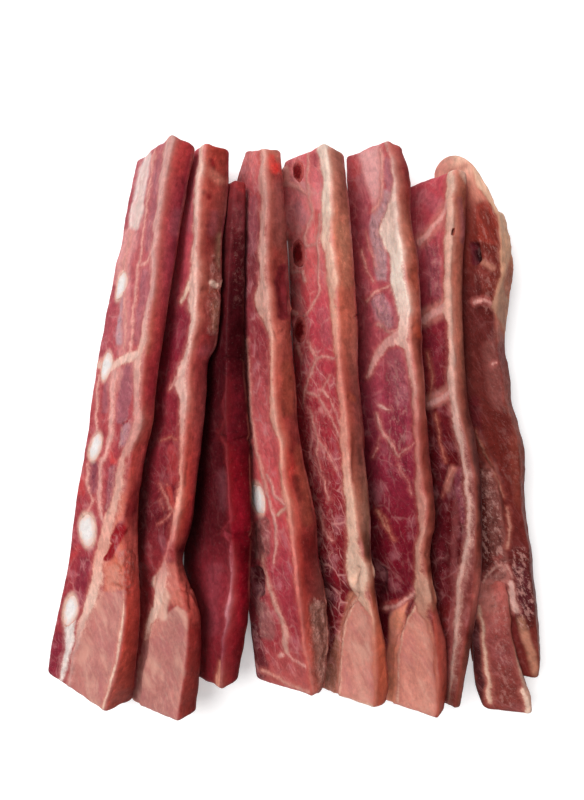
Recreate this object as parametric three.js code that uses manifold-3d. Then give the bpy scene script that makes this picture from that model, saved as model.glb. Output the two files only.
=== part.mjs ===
// Eight raw pork rib strips lying side by side, each leaning on the next one to its right.
// Millimetres, +Z up. The strips run along Y with their head ends at +Y, and rest on z = 0.
// Origin: middle of the group's footprint, on the surface that it rests on.
//
// Every strip is a bar cut across a rib slab. Its broad cut face looks up and to the left,
// its narrow outer side looks up and to the right, and the ridge is the edge between them.
import * as THREE from 'three';
import { mergeVertices } from 'three/addons/utils/BufferGeometryUtils.js';
import Module from 'manifold-3d';

const wasm = await Module();
wasm.setup();

// ---- driving dimensions -------------------------------------------------------------

const FLATTENED = 2; // how much a strip's lower corner is pressed flat on the table
const END_ROUNDING = 2.2; // radius round the cut ends
const END_ANGLES = [0, 40, 70, 90]; // steps of that rounding, in degrees
const STATION_STEP = 8.5; // spacing of the sections along a strip
const CORNERS = { ridge: 1.8, lowerEdge: 3, bottom: 3.5, outerEdge: 3 }; // their rounding
const FACE_WAVE = 0.6; // depth of the slow waves in the broad face
const WAVE_LENGTH = 34; // the spacing of the ribs, which the waves follow
const WAVE_SLANT = 9; // the waves lag by one radian for every so many millimetres across
const WAVE_FADE = 8; // width over which the waves die away at either side of the face
const STEP_RUN = 10; // length over which the step at a flap grows from nothing
const STEP_WIDTH = 1.6; // width of that step, measured across the face
const STEP_MARGINS = [3.8, 10]; // least room beside that step, at the ridge and the lower edge
const PLAIN_SPLIT = 0.45; // share of a plain face's width at which its points are spaced
const CORNER_SHARE = 1 / 3; // share of the narrow side that one rounded corner may take
const BOW_SHARE = 0.25; // share of the length over which an end's bow or slant evens out
const PIN_CLEARANCE = 0.3; // gap round each rib section
const PIN_SIDES = 14;

// ridge, edge: [y, x] points of the two long edges of the narrow side, seen from above.
// base: [y, x] points of the broad face's lower edge, seen from above.
// lean: degrees between the broad face and the table, at the head, the middle and the foot.
// lower: thickness of the bar along that lower edge, at the same three places.
// head, foot: y of each end, at the ridge and at the lower edge.
// headBow: how far the head end bulges between those two.
// outerShort: how far short of the ridge the outer edge ends, at the head and at the foot.
// flap: a muscle that stands proud by `step` between the ridge and its own free edge,
//   given as [y, distance from the ridge] points from its tip to the foot.
// ribs: rib sections in the broad face: y, distance from the ridge, size along and across.
const STRIPS = [
  {
    name: 'strip_1',
    ridge: [
      [126, -50.5], [91, -56], [65, -58], [22, -64], [5, -64.5], [-10, -69], [-40, -73],
      [-79, -72], [-101, -75], [-123, -81.5],
    ],
    edge: [
      [126, -40.5], [91, -47], [66, -50.5], [22, -57.5], [5, -59], [-10, -63], [-31, -67],
      [-79, -66], [-101, -68], [-123, -71.5],
    ],
    base: [
      [127, -72.5], [88, -80], [32, -91], [-5, -96], [-42, -102], [-61, -104], [-98, -111.5],
      [-113, -113.5],
    ],
    lean: [60, 46, 32],
    lower: [12, 13, 13],
    head: [127, 127],
    foot: [-125, -113.8],
    outerShort: [3.5, 0],
    ribs: [
      { y: 66, across: 33, size: [12, 8.5] },
      { y: 29, across: 32, size: [12, 8] },
      { y: -8, across: 28.5, size: [12, 8] },
      { y: -46, across: 26.5, size: [14, 11] },
      { y: -83, across: 34.5, size: [13, 8] },
    ],
  },
  {
    name: 'strip_2',
    ridge: [
      [124, -36.5], [108, -39], [82, -40], [48, -40.5], [35, -43], [13, -44.5], [-21, -46.5],
      [-51, -50.5], [-65, -48.5], [-78, -44.5], [-95, -44.5], [-125, -49],
    ],
    edge: [
      [124, -26], [101, -27], [84, -29], [57, -29.5], [38, -31.5], [30, -35], [13, -36],
      [-22, -40], [-40, -42.5], [-56, -46.5], [-65, -44], [-78, -39], [-95, -38], [-125, -41],
    ],
    base: [[125, -57], [60, -64.5], [0, -72], [-60, -76], [-126, -76.5]],
    lean: [58, 49, 42],
    lower: [13, 14, 14],
    head: [125, 125],
    foot: [-127.5, -127.5],
    outerShort: [1, 1.5],
    flap: { edge: [[-60, 10], [-72, 20], [-82, 23], [-98, 27], [-126, 28]], step: 2.2 },
  },
  {
    name: 'strip_3',
    ridge: [
      [110, -24.5], [57, -27.5], [5, -28], [-22, -27], [-39, -26], [-57, -24.5], [-75, -26.5],
      [-92, -29], [-113, -30],
    ],
    edge: [
      [110, -19], [67, -19.5], [40, -20], [13, -18.5], [-4, -17], [-49, -16], [-85, -18],
      [-113, -22.5],
    ],
    base: [[110, -42.5], [0, -50], [-114, -51]],
    lean: [56, 52, 50],
    lower: [9, 11, 12],
    head: [111, 110],
    foot: [-114, -114],
    outerShort: [0, 2],
  },
  {
    name: 'strip_4',
    ridge: [
      [126, -11.5], [98, -9.5], [73, -10], [40, -7.5], [13, -6.5], [-17, -2.5], [-47, 1.5],
      [-82, 5], [-114, 9.5],
    ],
    edge: [
      [126, -4], [101, -2], [62, 0.5], [40, 1.5], [18, 3.5], [0, 4.5], [-21, 8.5], [-37, 12],
      [-57, 13.5], [-70, 16], [-92, 18], [-114, 15.5],
    ],
    base: [[132, -21.5], [115, -26], [90, -28.5], [10, -28], [-60, -23], [-115, -16.5]],
    lean: [66, 54, 48],
    lower: [14, 16, 16],
    head: [126, 132],
    foot: [-115, -116.5],
    outerShort: [0, 2.5],
    ribs: [{ y: -31, across: 23, size: [13, 9] }],
  },
  {
    name: 'strip_5',
    ridge: [
      [124, 15], [108, 17.5], [86, 18], [65, 20], [26, 22], [9, 24], [-34, 28], [-51, 31],
      [-69, 34], [-86, 36], [-108, 37], [-120, 36.5],
    ],
    edge: [
      [124, 24.6], [111, 25], [101, 26.5], [75, 28.5], [48, 30.5], [26, 31], [-17, 34.5],
      [-39, 36], [-61, 36.5], [-81, 39.5], [-96, 42.5], [-112, 44], [-120, 42.5],
    ],
    base: [[123, -3.5], [0, 2.5], [-121, 10]],
    lean: [60, 54, 48],
    lower: [14, 15, 15],
    head: [125, 126],
    foot: [-120, -121],
    outerShort: [3, 0],
    flap: { edge: [[-67, 3], [-74, 10], [-80, 17], [-98, 22], [-121, 23]], step: 2.5 },
    ribs: [
      { y: 118, across: 25, size: [10, 9] },
      { y: 81, across: 27.5, size: [13, 10] },
      { y: 46, across: 30, size: [12, 9] },
    ],
  },
  {
    name: 'strip_6',
    ridge: [
      [124, 43], [108, 45.5], [91, 46.5], [56, 51], [39, 51.5], [22, 54], [-19, 56.5],
      [-34, 59], [-51, 57.5], [-69, 60], [-103, 64], [-123, 64],
    ],
    edge: [
      [124, 50], [114, 53], [92, 54], [75, 56.5], [48, 58], [31, 58.5], [5, 60], [-17, 62.5],
      [-39, 64], [-57, 62], [-77, 64.5], [-92, 68.5], [-114, 69.5], [-123, 68],
    ],
    base: [[126, 25.5], [60, 27.5], [0, 31.5], [-123, 36]],
    lean: [60, 54, 46],
    lower: [13, 13, 14],
    head: [127, 129],
    foot: [-125, -125.5],
    outerShort: [2, 3],
    flap: { edge: [[-70, 4], [-78, 13], [-92, 22], [-104, 26], [-124, 26]], step: 2.5 },
  },
  {
    name: 'strip_7',
    ridge: [
      [115, 72.5], [82, 70.5], [57, 70], [35, 71], [13, 72.5], [-4, 76], [-26, 79], [-60, 78.5],
      [-78, 77], [-96, 74.5], [-120, 72],
    ],
    edge: [
      [115, 79], [106, 80], [79, 78.5], [57, 78], [13, 79.5], [-4, 82], [-44, 83.5],
      [-71, 82.5], [-102, 78], [-120, 75],
    ],
    base: [[114, 54], [60, 51], [-119, 51]],
    lean: [58, 54, 56],
    lower: [7, 9, 9],
    head: [115.5, 114],
    foot: [-121.5, -119],
  },
  {
    name: 'strip_8',
    ridge: [
      [96, 92.3], [81, 93.5], [69, 94], [58, 92], [40, 91.5], [22, 94.5], [13, 95], [4, 98],
      [-8, 101], [-28, 102], [-55, 106.5], [-78, 110], [-104, 113.5], [-111, 113],
    ],
    edge: [
      [96, 97.5], [81, 101.3], [69, 102], [58, 100.3], [40, 99], [22, 101], [13, 101],
      [4, 103.5], [-8, 106.5], [-28, 107], [-55, 110.5], [-78, 113.5], [-104, 116], [-111, 115],
    ],
    base: [[127, 66], [0, 69.5], [-60, 77.5], [-110, 84.5]],
    lean: [38, 32, 14],
    lower: [13, 13, 13],
    head: [97.5, 120],
    headBow: 15.5,
    foot: [-113.5, -110],
    tongue: {
      ridge: [[-64, 99.5], [-88, 100], [-104, 103], [-120, 108], [-128, 109.5]],
      edge: [[-64, 103.5], [-88, 103.5], [-104, 106.5], [-120, 111.5], [-128, 113]],
      base: [[-68, 83.5], [-100, 83.5], [-116, 84.5], [-127, 88]],
      lean: [14, 12, 8],
      lower: [19, 19, 20],
      head: [-66, -68],
      foot: [-129, -127.5],
    },
  },
];

const LOOKS = {
  pork: { color: 0xa9525a, roughness: 0.45, metalness: 0 },
  darkPork: { color: 0x6d1f2b, roughness: 0.45, metalness: 0 },
  brownPork: { color: 0x7c3a34, roughness: 0.5, metalness: 0 },
  cartilage: { color: 0xe9dfe2, roughness: 0.4, metalness: 0 },
  marrow: { color: 0x6a1218, roughness: 0.4, metalness: 0 },
};
const STRIP_LOOK = { strip_3: 'darkPork', strip_8: 'brownPork' };
const RIB_LOOK = { strip_5: 'marrow' };

// ---- curves -------------------------------------------------------------------------

const mix = (a, b, t) => a + (b - a) * t;
const smooth = (t) => THREE.MathUtils.smoothstep(t, 0, 1);
const radians = THREE.MathUtils.degToRad;

// Smooth curve through [y, value] points that run from the largest y to the smallest.
function follow(points, y) {
  const last = points.length - 1;
  let i = points.findIndex((point) => point[0] < y) - 1;
  if (y >= points[0][0]) return points[0][1];
  if (i < 0) return points[last][1];
  i = Math.min(i, last - 1);
  const slope = (a, b) => (points[b][1] - points[a][1]) / (points[b][0] - points[a][0]);
  const tangent = (k) => slope(Math.max(k - 1, 0), Math.min(k + 1, last));
  const [y0, v0] = points[i];
  const [y1, v1] = points[i + 1];
  const t = (y - y0) / (y1 - y0);
  const span = y1 - y0;
  return (2 * t ** 3 - 3 * t ** 2 + 1) * v0 + (t ** 3 - 2 * t ** 2 + t) * span * tangent(i)
    + (3 * t ** 2 - 2 * t ** 3) * v1 + (t ** 3 - t ** 2) * span * tangent(i + 1);
}

// Quadratic through the values at the head (0), the middle (0.5) and the foot (1).
const through = ([a, b, c], u) => a * (1 - u) * (1 - 2 * u) + 4 * b * u * (1 - u) + c * u * (2 * u - 1);

// ---- one bar ------------------------------------------------------------------------

// The bar's frame and sizes at u, from 0 at the head to 1 at the foot.
function sectionAt(bar, u) {
  const ridgeY = mix(bar.head[0], bar.foot[0], u);
  const lowerY = mix(bar.head[1], bar.foot[1], u);
  const lean = radians(through(bar.lean, u));
  const lower = through(bar.lower, u);
  const x = follow(bar.ridge, ridgeY);
  const width = (x - follow(bar.base, lowerY)) / Math.cos(lean);
  const upper = (follow(bar.edge, ridgeY) - x) / Math.sin(lean);
  const z = lower * Math.cos(lean) - FLATTENED + width * Math.sin(lean);
  const nearHead = Math.max(1 - u / BOW_SHARE, 0) ** 2;
  const nearFoot = Math.max(1 - (1 - u) / BOW_SHARE, 0) ** 2;
  const bow = (bar.headBow ?? 0) * nearHead;
  const [headShort, footShort] = bar.outerShort ?? [0, 0];
  const short = headShort * nearHead - footShort * nearFoot;
  return { ridgeY, lowerY, bow, short, lean, width, lower, upper, x, z };
}

// A point of the bar: `across` from the ridge along the broad face, `deep` behind that face.
// Seen from above, y depends on the point's place between the ridge and the lower edge, and
// on the narrow side between the ridge and the outer edge.
function place(section, across, deep) {
  const { x, z, lean, width, upper } = section;
  const aside = deep * Math.sin(lean) - across * Math.cos(lean);
  const share = THREE.MathUtils.clamp(-aside / (width * Math.cos(lean)), 0, 1);
  const outward = THREE.MathUtils.clamp(aside / (upper * Math.sin(lean)), 0, 1);
  const bow = section.bow * 4 * share * (1 - share);
  return new THREE.Vector3(
    x + aside,
    mix(section.ridgeY, section.lowerY, share) + bow - section.short * outward,
    Math.max(z - across * Math.sin(lean) - deep * Math.cos(lean), 0),
  );
}

// How far the broad face lies behind its plane: its slow waves, and the step at a flap.
function sunken(bar, section, across) {
  const y = section.ridgeY;
  const phase = (2 * Math.PI * y) / WAVE_LENGTH + across / WAVE_SLANT + section.x;
  const wave = 0.5 + 0.5 * Math.sin(phase);
  const fade = smooth(across / WAVE_FADE) * smooth((section.width - across) / WAVE_FADE);
  let depth = FACE_WAVE * wave * fade;
  if (bar.flap) {
    const grown = smooth((bar.flap.edge[0][0] - y) / STEP_RUN);
    const beyond = (across - follow(bar.flap.edge, y)) / STEP_WIDTH + 0.5;
    depth += bar.flap.step * grown * smooth(beyond);
  }
  return depth;
}

// Corner of the section, rounded as a curve from one side to the next.
function roundCorner(before, corner, after, radius, steps) {
  const toward = (target) => {
    const way = new THREE.Vector2().subVectors(target, corner);
    return corner.clone().addScaledVector(way.normalize(), radius);
  };
  return new THREE.QuadraticBezierCurve(toward(before), corner, toward(after)).getPoints(steps);
}

// The section's outline as (across, deep) points, the same number at every station.
function outline(bar, section) {
  const { width, lower, upper } = section;
  const ridge = new THREE.Vector2(0, 0);
  const lowerEdge = new THREE.Vector2(width, 0);
  const bottom = new THREE.Vector2(width, lower);
  const outerEdge = new THREE.Vector2(0, upper);
  const step = bar.flap ? follow(bar.flap.edge, section.ridgeY) : width * PLAIN_SPLIT;
  const [roomAbove, roomBelow] = STEP_MARGINS;
  const edgeOfStep = THREE.MathUtils.clamp(step, roomAbove, width - roomBelow);
  const faceStops = [
    mix(CORNERS.ridge, edgeOfStep - STEP_WIDTH / 2, 0.5),
    edgeOfStep - STEP_WIDTH / 2,
    edgeOfStep + STEP_WIDTH / 2,
    mix(edgeOfStep + STEP_WIDTH / 2, width - CORNERS.lowerEdge, 0.5),
  ];
  const ridgeRadius = Math.min(CORNERS.ridge, upper * CORNER_SHARE);
  const outerRadius = Math.min(CORNERS.outerEdge, upper * CORNER_SHARE);
  const points = [
    ...roundCorner(outerEdge, ridge, lowerEdge, ridgeRadius, 2),
    ...faceStops.map((across) => new THREE.Vector2(across, 0)),
    ...roundCorner(ridge, lowerEdge, bottom, CORNERS.lowerEdge, 2),
    ...roundCorner(lowerEdge, bottom, outerEdge, CORNERS.bottom, 3),
    bottom.clone().lerp(outerEdge, 0.5),
    ...roundCorner(bottom, outerEdge, ridge, outerRadius, 2),
  ];
  for (const point of points) {
    const share = Math.max(1 - point.y / Math.max(lower, upper), 0);
    point.y += sunken(bar, section, point.x) * share;
  }
  return points;
}

// Stations from head to foot: [u, inset], close together round the ends.
function stations(bar) {
  const length = bar.head[0] - bar.foot[0];
  const rounding = END_ANGLES.map((angle) => [
    (END_ROUNDING * (1 - Math.cos(radians(angle)))) / length,
    END_ROUNDING * (1 - Math.sin(radians(angle))),
  ]);
  const count = Math.round(length / STATION_STEP);
  const start = END_ROUNDING / length;
  const plain = Array.from({ length: count - 1 }, (_, i) => [
    mix(start, 1 - start, (i + 1) / count), 0,
  ]);
  const far = rounding.map(([u, inset]) => [1 - u, inset]).reverse();
  return [...rounding, ...plain, ...far];
}

// Closed mesh over rings of points, with a fan over each end.
function loft(rings) {
  const around = rings[0].length;
  const positions = rings.flat().flatMap((point) => point.toArray());
  for (const ring of [rings[0], rings[rings.length - 1]]) {
    const centre = new THREE.Vector3();
    ring.forEach((point) => centre.addScaledVector(point, 1 / around));
    positions.push(...centre.toArray());
  }
  const headCentre = rings.length * around;
  const indices = [];
  for (let i = 0; i < around; i++) {
    const next = (i + 1) % around;
    for (let r = 0; r < rings.length - 1; r++) {
      const here = r * around;
      const there = here + around;
      indices.push(here + i, here + next, there + i);
      indices.push(here + next, there + next, there + i);
    }
    const foot = (rings.length - 1) * around;
    indices.push(headCentre, next, i);
    indices.push(headCentre + 1, foot + i, foot + next);
  }
  const geometry = new THREE.BufferGeometry();
  geometry.setAttribute('position', new THREE.Float32BufferAttribute(positions, 3));
  geometry.setIndex(indices);
  return geometry;
}

function barGeometry(bar) {
  const rings = stations(bar).map(([u, inset]) => {
    const section = sectionAt(bar, u);
    const middle = { across: section.width / 2, deep: (section.lower + section.upper) / 4 };
    return outline(bar, section).map((point) => place(
      section,
      mix(point.x, middle.across, inset / middle.across),
      mix(point.y, middle.deep, inset / middle.deep),
    ));
  });
  return loft(rings);
}

// ---- joining and cutting ------------------------------------------------------------

function solidOf(geometry) {
  const bare = geometry.clone();
  bare.deleteAttribute('normal');
  bare.deleteAttribute('uv');
  const merged = mergeVertices(bare, 1e-4);
  return new wasm.Manifold(new wasm.Mesh({
    numProp: 3,
    vertProperties: new Float32Array(merged.attributes.position.array),
    triVerts: new Uint32Array(merged.index.array),
  }));
}

function geometryOf(solid) {
  const { vertProperties, triVerts } = solid.getMesh();
  const geometry = new THREE.BufferGeometry();
  geometry.setAttribute('position', new THREE.Float32BufferAttribute(vertProperties, 3));
  geometry.setIndex(new THREE.Uint32BufferAttribute(triVerts, 1));
  geometry.computeVertexNormals();
  return geometry;
}

// Oval bar that runs through a strip at right angles to its broad face.
function ribRod(strip, rib, clearance) {
  const section = sectionAt(strip, (strip.head[0] - rib.y) / (strip.head[0] - strip.foot[0]));
  const length = 4 * section.lower;
  const along = rib.size[0] / 2 + clearance;
  const across = rib.size[1] / 2 + clearance;
  const down = new THREE.Vector3(-Math.cos(section.lean), 0, -Math.sin(section.lean));
  const through = new THREE.Vector3(Math.sin(section.lean), 0, -Math.cos(section.lean));
  const turn = new THREE.Matrix4().makeBasis(new THREE.Vector3(0, along, 0), through,
    down.multiplyScalar(across));
  const rod = new THREE.CylinderGeometry(1, 1, length, PIN_SIDES).applyMatrix4(turn);
  const centre = place(section, rib.across, 0);
  return solidOf(rod.translate(centre.x, rib.y, centre.z));
}

// ---- the group ----------------------------------------------------------------------

function pieceMesh(name, solid, look) {
  const mesh = new THREE.Mesh(geometryOf(solid), new THREE.MeshStandardMaterial(LOOKS[look]));
  mesh.name = name;
  return mesh;
}

const pack = new THREE.Group();

for (const strip of STRIPS) {
  let meat = solidOf(barGeometry(strip));
  if (strip.tongue) meat = meat.add(solidOf(barGeometry(strip.tongue)));
  const whole = meat;
  (strip.ribs ?? []).forEach((rib, index) => {
    const name = `${strip.name}_rib_${index + 1}`;
    const section = whole.intersect(ribRod(strip, rib, 0));
    pack.add(pieceMesh(name, section, RIB_LOOK[strip.name] ?? 'cartilage'));
    meat = meat.subtract(ribRod(strip, rib, PIN_CLEARANCE));
  });
  pack.add(pieceMesh(strip.name, meat, STRIP_LOOK[strip.name] ?? 'pork'));
}

export default pack;
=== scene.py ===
import bpy
import numpy as np
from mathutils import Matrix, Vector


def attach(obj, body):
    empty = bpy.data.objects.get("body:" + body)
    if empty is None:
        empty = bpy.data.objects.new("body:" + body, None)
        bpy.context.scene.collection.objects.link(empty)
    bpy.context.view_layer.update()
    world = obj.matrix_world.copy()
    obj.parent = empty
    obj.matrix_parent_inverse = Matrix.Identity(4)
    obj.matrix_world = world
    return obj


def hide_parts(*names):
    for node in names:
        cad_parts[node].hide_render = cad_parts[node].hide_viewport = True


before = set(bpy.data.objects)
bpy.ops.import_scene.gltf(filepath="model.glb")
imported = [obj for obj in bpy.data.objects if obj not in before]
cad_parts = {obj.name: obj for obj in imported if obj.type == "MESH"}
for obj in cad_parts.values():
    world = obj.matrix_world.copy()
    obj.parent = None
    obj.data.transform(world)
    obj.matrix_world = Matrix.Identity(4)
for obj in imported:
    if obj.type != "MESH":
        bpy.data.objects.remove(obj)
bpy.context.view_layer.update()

MM = 0.001

# ---- the strips' driving dimensions, in millimetres, as in the solids --------------------

FLATTENED = 2.0  # how much a strip's lower corner is pressed flat on the table
END_ROUNDING = 2.2  # radius round the cut ends
CORNERS = {"ridge": 1.8, "lower_edge": 3.0, "bottom": 3.5, "outer_edge": 2.2}
FACE_WAVE = 0.6  # depth of the slow waves in the broad face
WAVE_LENGTH = 34.0  # the spacing of the ribs, which the waves follow
WAVE_SLANT = 9.0  # distance across the face over which a wave shifts by one radian
WAVE_MARGIN = 8.0  # the waves fade out over this much of the face beside its edges
STEP_RUN = 6.0  # length over which the step at a flap grows from nothing
STEP_WIDTH = 0.9  # width of that step, measured across the face
BOW_SHARE = 0.25  # share of the length over which an end's bow or slant evens out

# ridge, edge, base: (y, x) points of a strip's long edges, seen from above.
# lean: degrees between the broad face and the table, at the head, the middle and the foot.
# lower: thickness of the bar along the base line, at the same three places.
# head, foot: y of each end, at the ridge and at the lower edge.
# head_bow: how far the head end bulges between those two.
# outer_short: how far short of the ridge the outer edge ends, at the head and at the foot.
# flap: a muscle that stands proud by its step, from the ridge to its own free edge, which is
#   given as (y, distance from the ridge) points.
# ribs: y, distance from the ridge, size along and size across.
STRIPS = {}

STRIPS["strip_1"] = {
    "ridge": [
        (126, -50.5), (91, -56), (65, -58), (22, -64), (5, -64.5), (-10, -69), (-40, -73),
        (-79, -72), (-101, -75), (-123, -81.5),
    ],
    "edge": [
        (126, -40.5), (91, -47), (66, -50.5), (22, -57.5), (5, -59), (-10, -63), (-31, -67),
        (-79, -66), (-101, -68), (-123, -71.5),
    ],
    "base": [
        (127, -72.5), (88, -80), (32, -91), (-5, -96), (-42, -102), (-61, -104), (-98, -111.5),
        (-113, -113.5),
    ],
    "lean": (60, 46, 32),
    "lower": (12, 13, 13),
    "head": (127, 127),
    "foot": (-125, -113.8),
    "outer_short": (3.5, 0),
    "ribs": [
        (66, 33, 12, 8.5), (29, 32, 12, 8), (-8, 28.5, 12, 8), (-46, 26.5, 14, 11),
        (-83, 34.5, 13, 8),
    ],
}

STRIPS["strip_2"] = {
    "ridge": [
        (124, -36.5), (108, -39), (82, -40), (48, -40.5), (35, -43), (13, -44.5), (-21, -46.5),
        (-51, -50.5), (-65, -48.5), (-78, -44.5), (-95, -44.5), (-125, -49),
    ],
    "edge": [
        (124, -26), (101, -27), (84, -29), (57, -29.5), (38, -31.5), (30, -35), (13, -36),
        (-22, -40), (-40, -42.5), (-56, -46.5), (-65, -44), (-78, -39), (-95, -38), (-125, -41),
    ],
    "base": [(125, -57), (60, -64.5), (0, -72), (-60, -76), (-126, -76.5)],
    "lean": (58, 49, 42),
    "lower": (13, 14, 14),
    "head": (125, 125),
    "foot": (-127.5, -127.5),
    "outer_short": (1, 1.5),
    "flap": {"edge": [(-60, 10), (-72, 20), (-82, 23), (-98, 27), (-126, 28)], "step": 2.2},
}

STRIPS["strip_3"] = {
    "ridge": [
        (110, -24.5), (57, -27.5), (5, -28), (-22, -27), (-39, -26), (-57, -24.5), (-75, -26.5),
        (-92, -29), (-113, -30),
    ],
    "edge": [
        (110, -19), (67, -19.5), (40, -20), (13, -18.5), (-4, -17), (-49, -16), (-85, -18),
        (-113, -22.5),
    ],
    "base": [(110, -42.5), (0, -50), (-114, -51)],
    "lean": (56, 52, 50),
    "lower": (9, 11, 12),
    "head": (111, 110),
    "foot": (-114, -114),
    "outer_short": (0, 2),
}

STRIPS["strip_4"] = {
    "ridge": [
        (126, -11.5), (98, -9.5), (73, -10), (40, -7.5), (13, -6.5), (-17, -2.5), (-47, 1.5),
        (-82, 5), (-114, 9.5),
    ],
    "edge": [
        (126, -4), (101, -2), (62, 0.5), (40, 1.5), (18, 3.5), (0, 4.5), (-21, 8.5), (-37, 12),
        (-57, 13.5), (-70, 16), (-92, 18), (-114, 15.5),
    ],
    "base": [(132, -21.5), (115, -26), (90, -28.5), (10, -28), (-60, -23), (-115, -16.5)],
    "lean": (66, 54, 48),
    "lower": (14, 16, 16),
    "head": (126, 132),
    "foot": (-115, -116.5),
    "outer_short": (0, 2.5),
    "ribs": [(-31, 23, 13, 9)],
}

STRIPS["strip_5"] = {
    "ridge": [
        (124, 15), (108, 17.5), (86, 18), (65, 20), (26, 22), (9, 24), (-34, 28), (-51, 31),
        (-69, 34), (-86, 36), (-108, 37), (-120, 36.5),
    ],
    "edge": [
        (124, 24.6), (111, 25), (101, 26.5), (75, 28.5), (48, 30.5), (26, 31), (-17, 34.5),
        (-39, 36), (-61, 36.5), (-81, 39.5), (-96, 42.5), (-112, 44), (-120, 42.5),
    ],
    "base": [(123, -3.5), (0, 2.5), (-121, 10)],
    "lean": (60, 54, 48),
    "lower": (14, 15, 15),
    "head": (125, 126),
    "foot": (-120, -121),
    "outer_short": (3, 0),
    "flap": {"edge": [(-67, 3), (-74, 10), (-80, 17), (-98, 22), (-121, 23)], "step": 2.5},
    "ribs": [(118, 25, 10, 9), (81, 27.5, 13, 10), (46, 30, 12, 9)],
}

STRIPS["strip_6"] = {
    "ridge": [
        (124, 43), (108, 45.5), (91, 46.5), (56, 51), (39, 51.5), (22, 54), (-19, 56.5), (-34, 59),
        (-51, 57.5), (-69, 60), (-103, 64), (-123, 64),
    ],
    "edge": [
        (124, 50), (114, 53), (92, 54), (75, 56.5), (48, 58), (31, 58.5), (5, 60), (-17, 62.5),
        (-39, 64), (-57, 62), (-77, 64.5), (-92, 68.5), (-114, 69.5), (-123, 68),
    ],
    "base": [(126, 25.5), (60, 27.5), (0, 31.5), (-123, 36)],
    "lean": (60, 54, 46),
    "lower": (13, 13, 14),
    "head": (127, 129),
    "foot": (-125, -125.5),
    "outer_short": (2, 3),
    "flap": {"edge": [(-70, 4), (-78, 13), (-92, 22), (-104, 26), (-124, 26)], "step": 2.5},
}

STRIPS["strip_7"] = {
    "ridge": [
        (115, 72.5), (82, 70.5), (57, 70), (35, 71), (13, 72.5), (-4, 76), (-26, 79), (-60, 78.5),
        (-78, 77), (-96, 74.5), (-120, 72),
    ],
    "edge": [
        (115, 79), (106, 80), (79, 78.5), (57, 78), (13, 79.5), (-4, 82), (-44, 83.5), (-71, 82.5),
        (-102, 78), (-120, 75),
    ],
    "base": [(114, 54), (60, 51), (-119, 51)],
    "lean": (58, 54, 56),
    "lower": (7, 9, 9),
    "head": (115.5, 114),
    "foot": (-121.5, -119),
}

STRIPS["strip_8"] = {
    "ridge": [
        (96, 92.3), (81, 93.5), (69, 94), (58, 92), (40, 91.5), (22, 94.5), (13, 95), (4, 98),
        (-8, 101), (-28, 102), (-55, 106.5), (-78, 110), (-104, 113.5), (-111, 113),
    ],
    "edge": [
        (96, 97.5), (81, 101.3), (69, 102), (58, 100.3), (40, 99), (22, 101), (13, 101), (4, 103.5),
        (-8, 106.5), (-28, 107), (-55, 110.5), (-78, 113.5), (-104, 116), (-111, 115),
    ],
    "base": [(127, 66), (0, 69.5), (-60, 77.5), (-110, 84.5)],
    "lean": (38, 32, 14),
    "lower": (13, 13, 13),
    "head": (97.5, 120),
    "head_bow": 15.5,
    "foot": (-113.5, -110),
}

STRIPS["strip_8_tongue"] = {
    "ridge": [(-64, 99.5), (-88, 100), (-104, 103), (-120, 108), (-128, 109.5)],
    "edge": [(-64, 103.5), (-88, 103.5), (-104, 106.5), (-120, 111.5), (-128, 113)],
    "base": [(-68, 83.5), (-100, 83.5), (-116, 84.5), (-127, 88)],
    "lean": (14, 12, 8),
    "lower": (19, 19, 20),
    "head": (-66, -68),
    "foot": (-129, -127.5),
}

# ---- the camera, straight above, and the photograph's frame ------------------------------

PHOTO = (584, 800)
CAMERA = (1.0, 13.5, 400.0)  # millimetres
FOCAL = 840.0  # in the photograph's pixels
SENSOR = 36.0  # millimetres along the long side


def pixels(points):
    """Where points, in millimetres, lie in the photograph."""
    scale = FOCAL / (CAMERA[2] - points[..., 2])
    x = PHOTO[0] / 2 + (points[..., 0] - CAMERA[0]) * scale
    y = PHOTO[1] / 2 - (points[..., 1] - CAMERA[1]) * scale
    return np.stack([x, y], -1)


# ---- colours, as the photograph shows them ------------------------------------------------

CREAM = (238, 200, 180)
FAT_PINK = (222, 158, 150)
WHITE = (226, 208, 202)
ROSE = (184, 100, 110)
LEAN = (164, 66, 78)
WINE = (132, 40, 56)
DEEP = (96, 26, 36)
MAUVE = (160, 90, 100)
LILAC = (196, 156, 164)
BLOOD = (138, 24, 32)
BRIGHT = (202, 68, 66)
PEACH = (212, 140, 120)
ORANGE = (196, 104, 78)
RUST = (156, 72, 56)
BROWN = (116, 60, 50)
TAN = (176, 136, 108)
FLAP = (190, 124, 116)

# ---- what the photograph shows on each strip, in its own pixels ---------------------------

# web: strength of the fine webs of fat between the muscle bundles.
# foot_shade: brightness close to the table, where the neighbours keep the light out.
# rib_ring: colour of the meat round a rib section.
# tones: (y, colour) along the broad face.   skin: (y, colour at the ridge, colour at the edge).
# fat_tones: (y, colour) of the fat.   fat_line: (y, left, right) of the fat along the ridge.
# seams: (half width at its start, at its end, colour, points) of fat in the broad face.
# areas: (colour, strength, softness, streaks, outline) of flat cut or coloured stretches.
# patches, skin_patches: (colour, strength, radius, softness, points) on the broad face and on
#   the narrow side.   holes: the same for hollows and cuts, where the fat is missing too; some
#   hold a cut's own colour, others painted shade inside a hollow.
# dents: (depth in millimetres, radius, points); a lump has a negative depth.
# grit: (strength, radius, points) of grainy, speckled stretches.
LOOKS = {}

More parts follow.
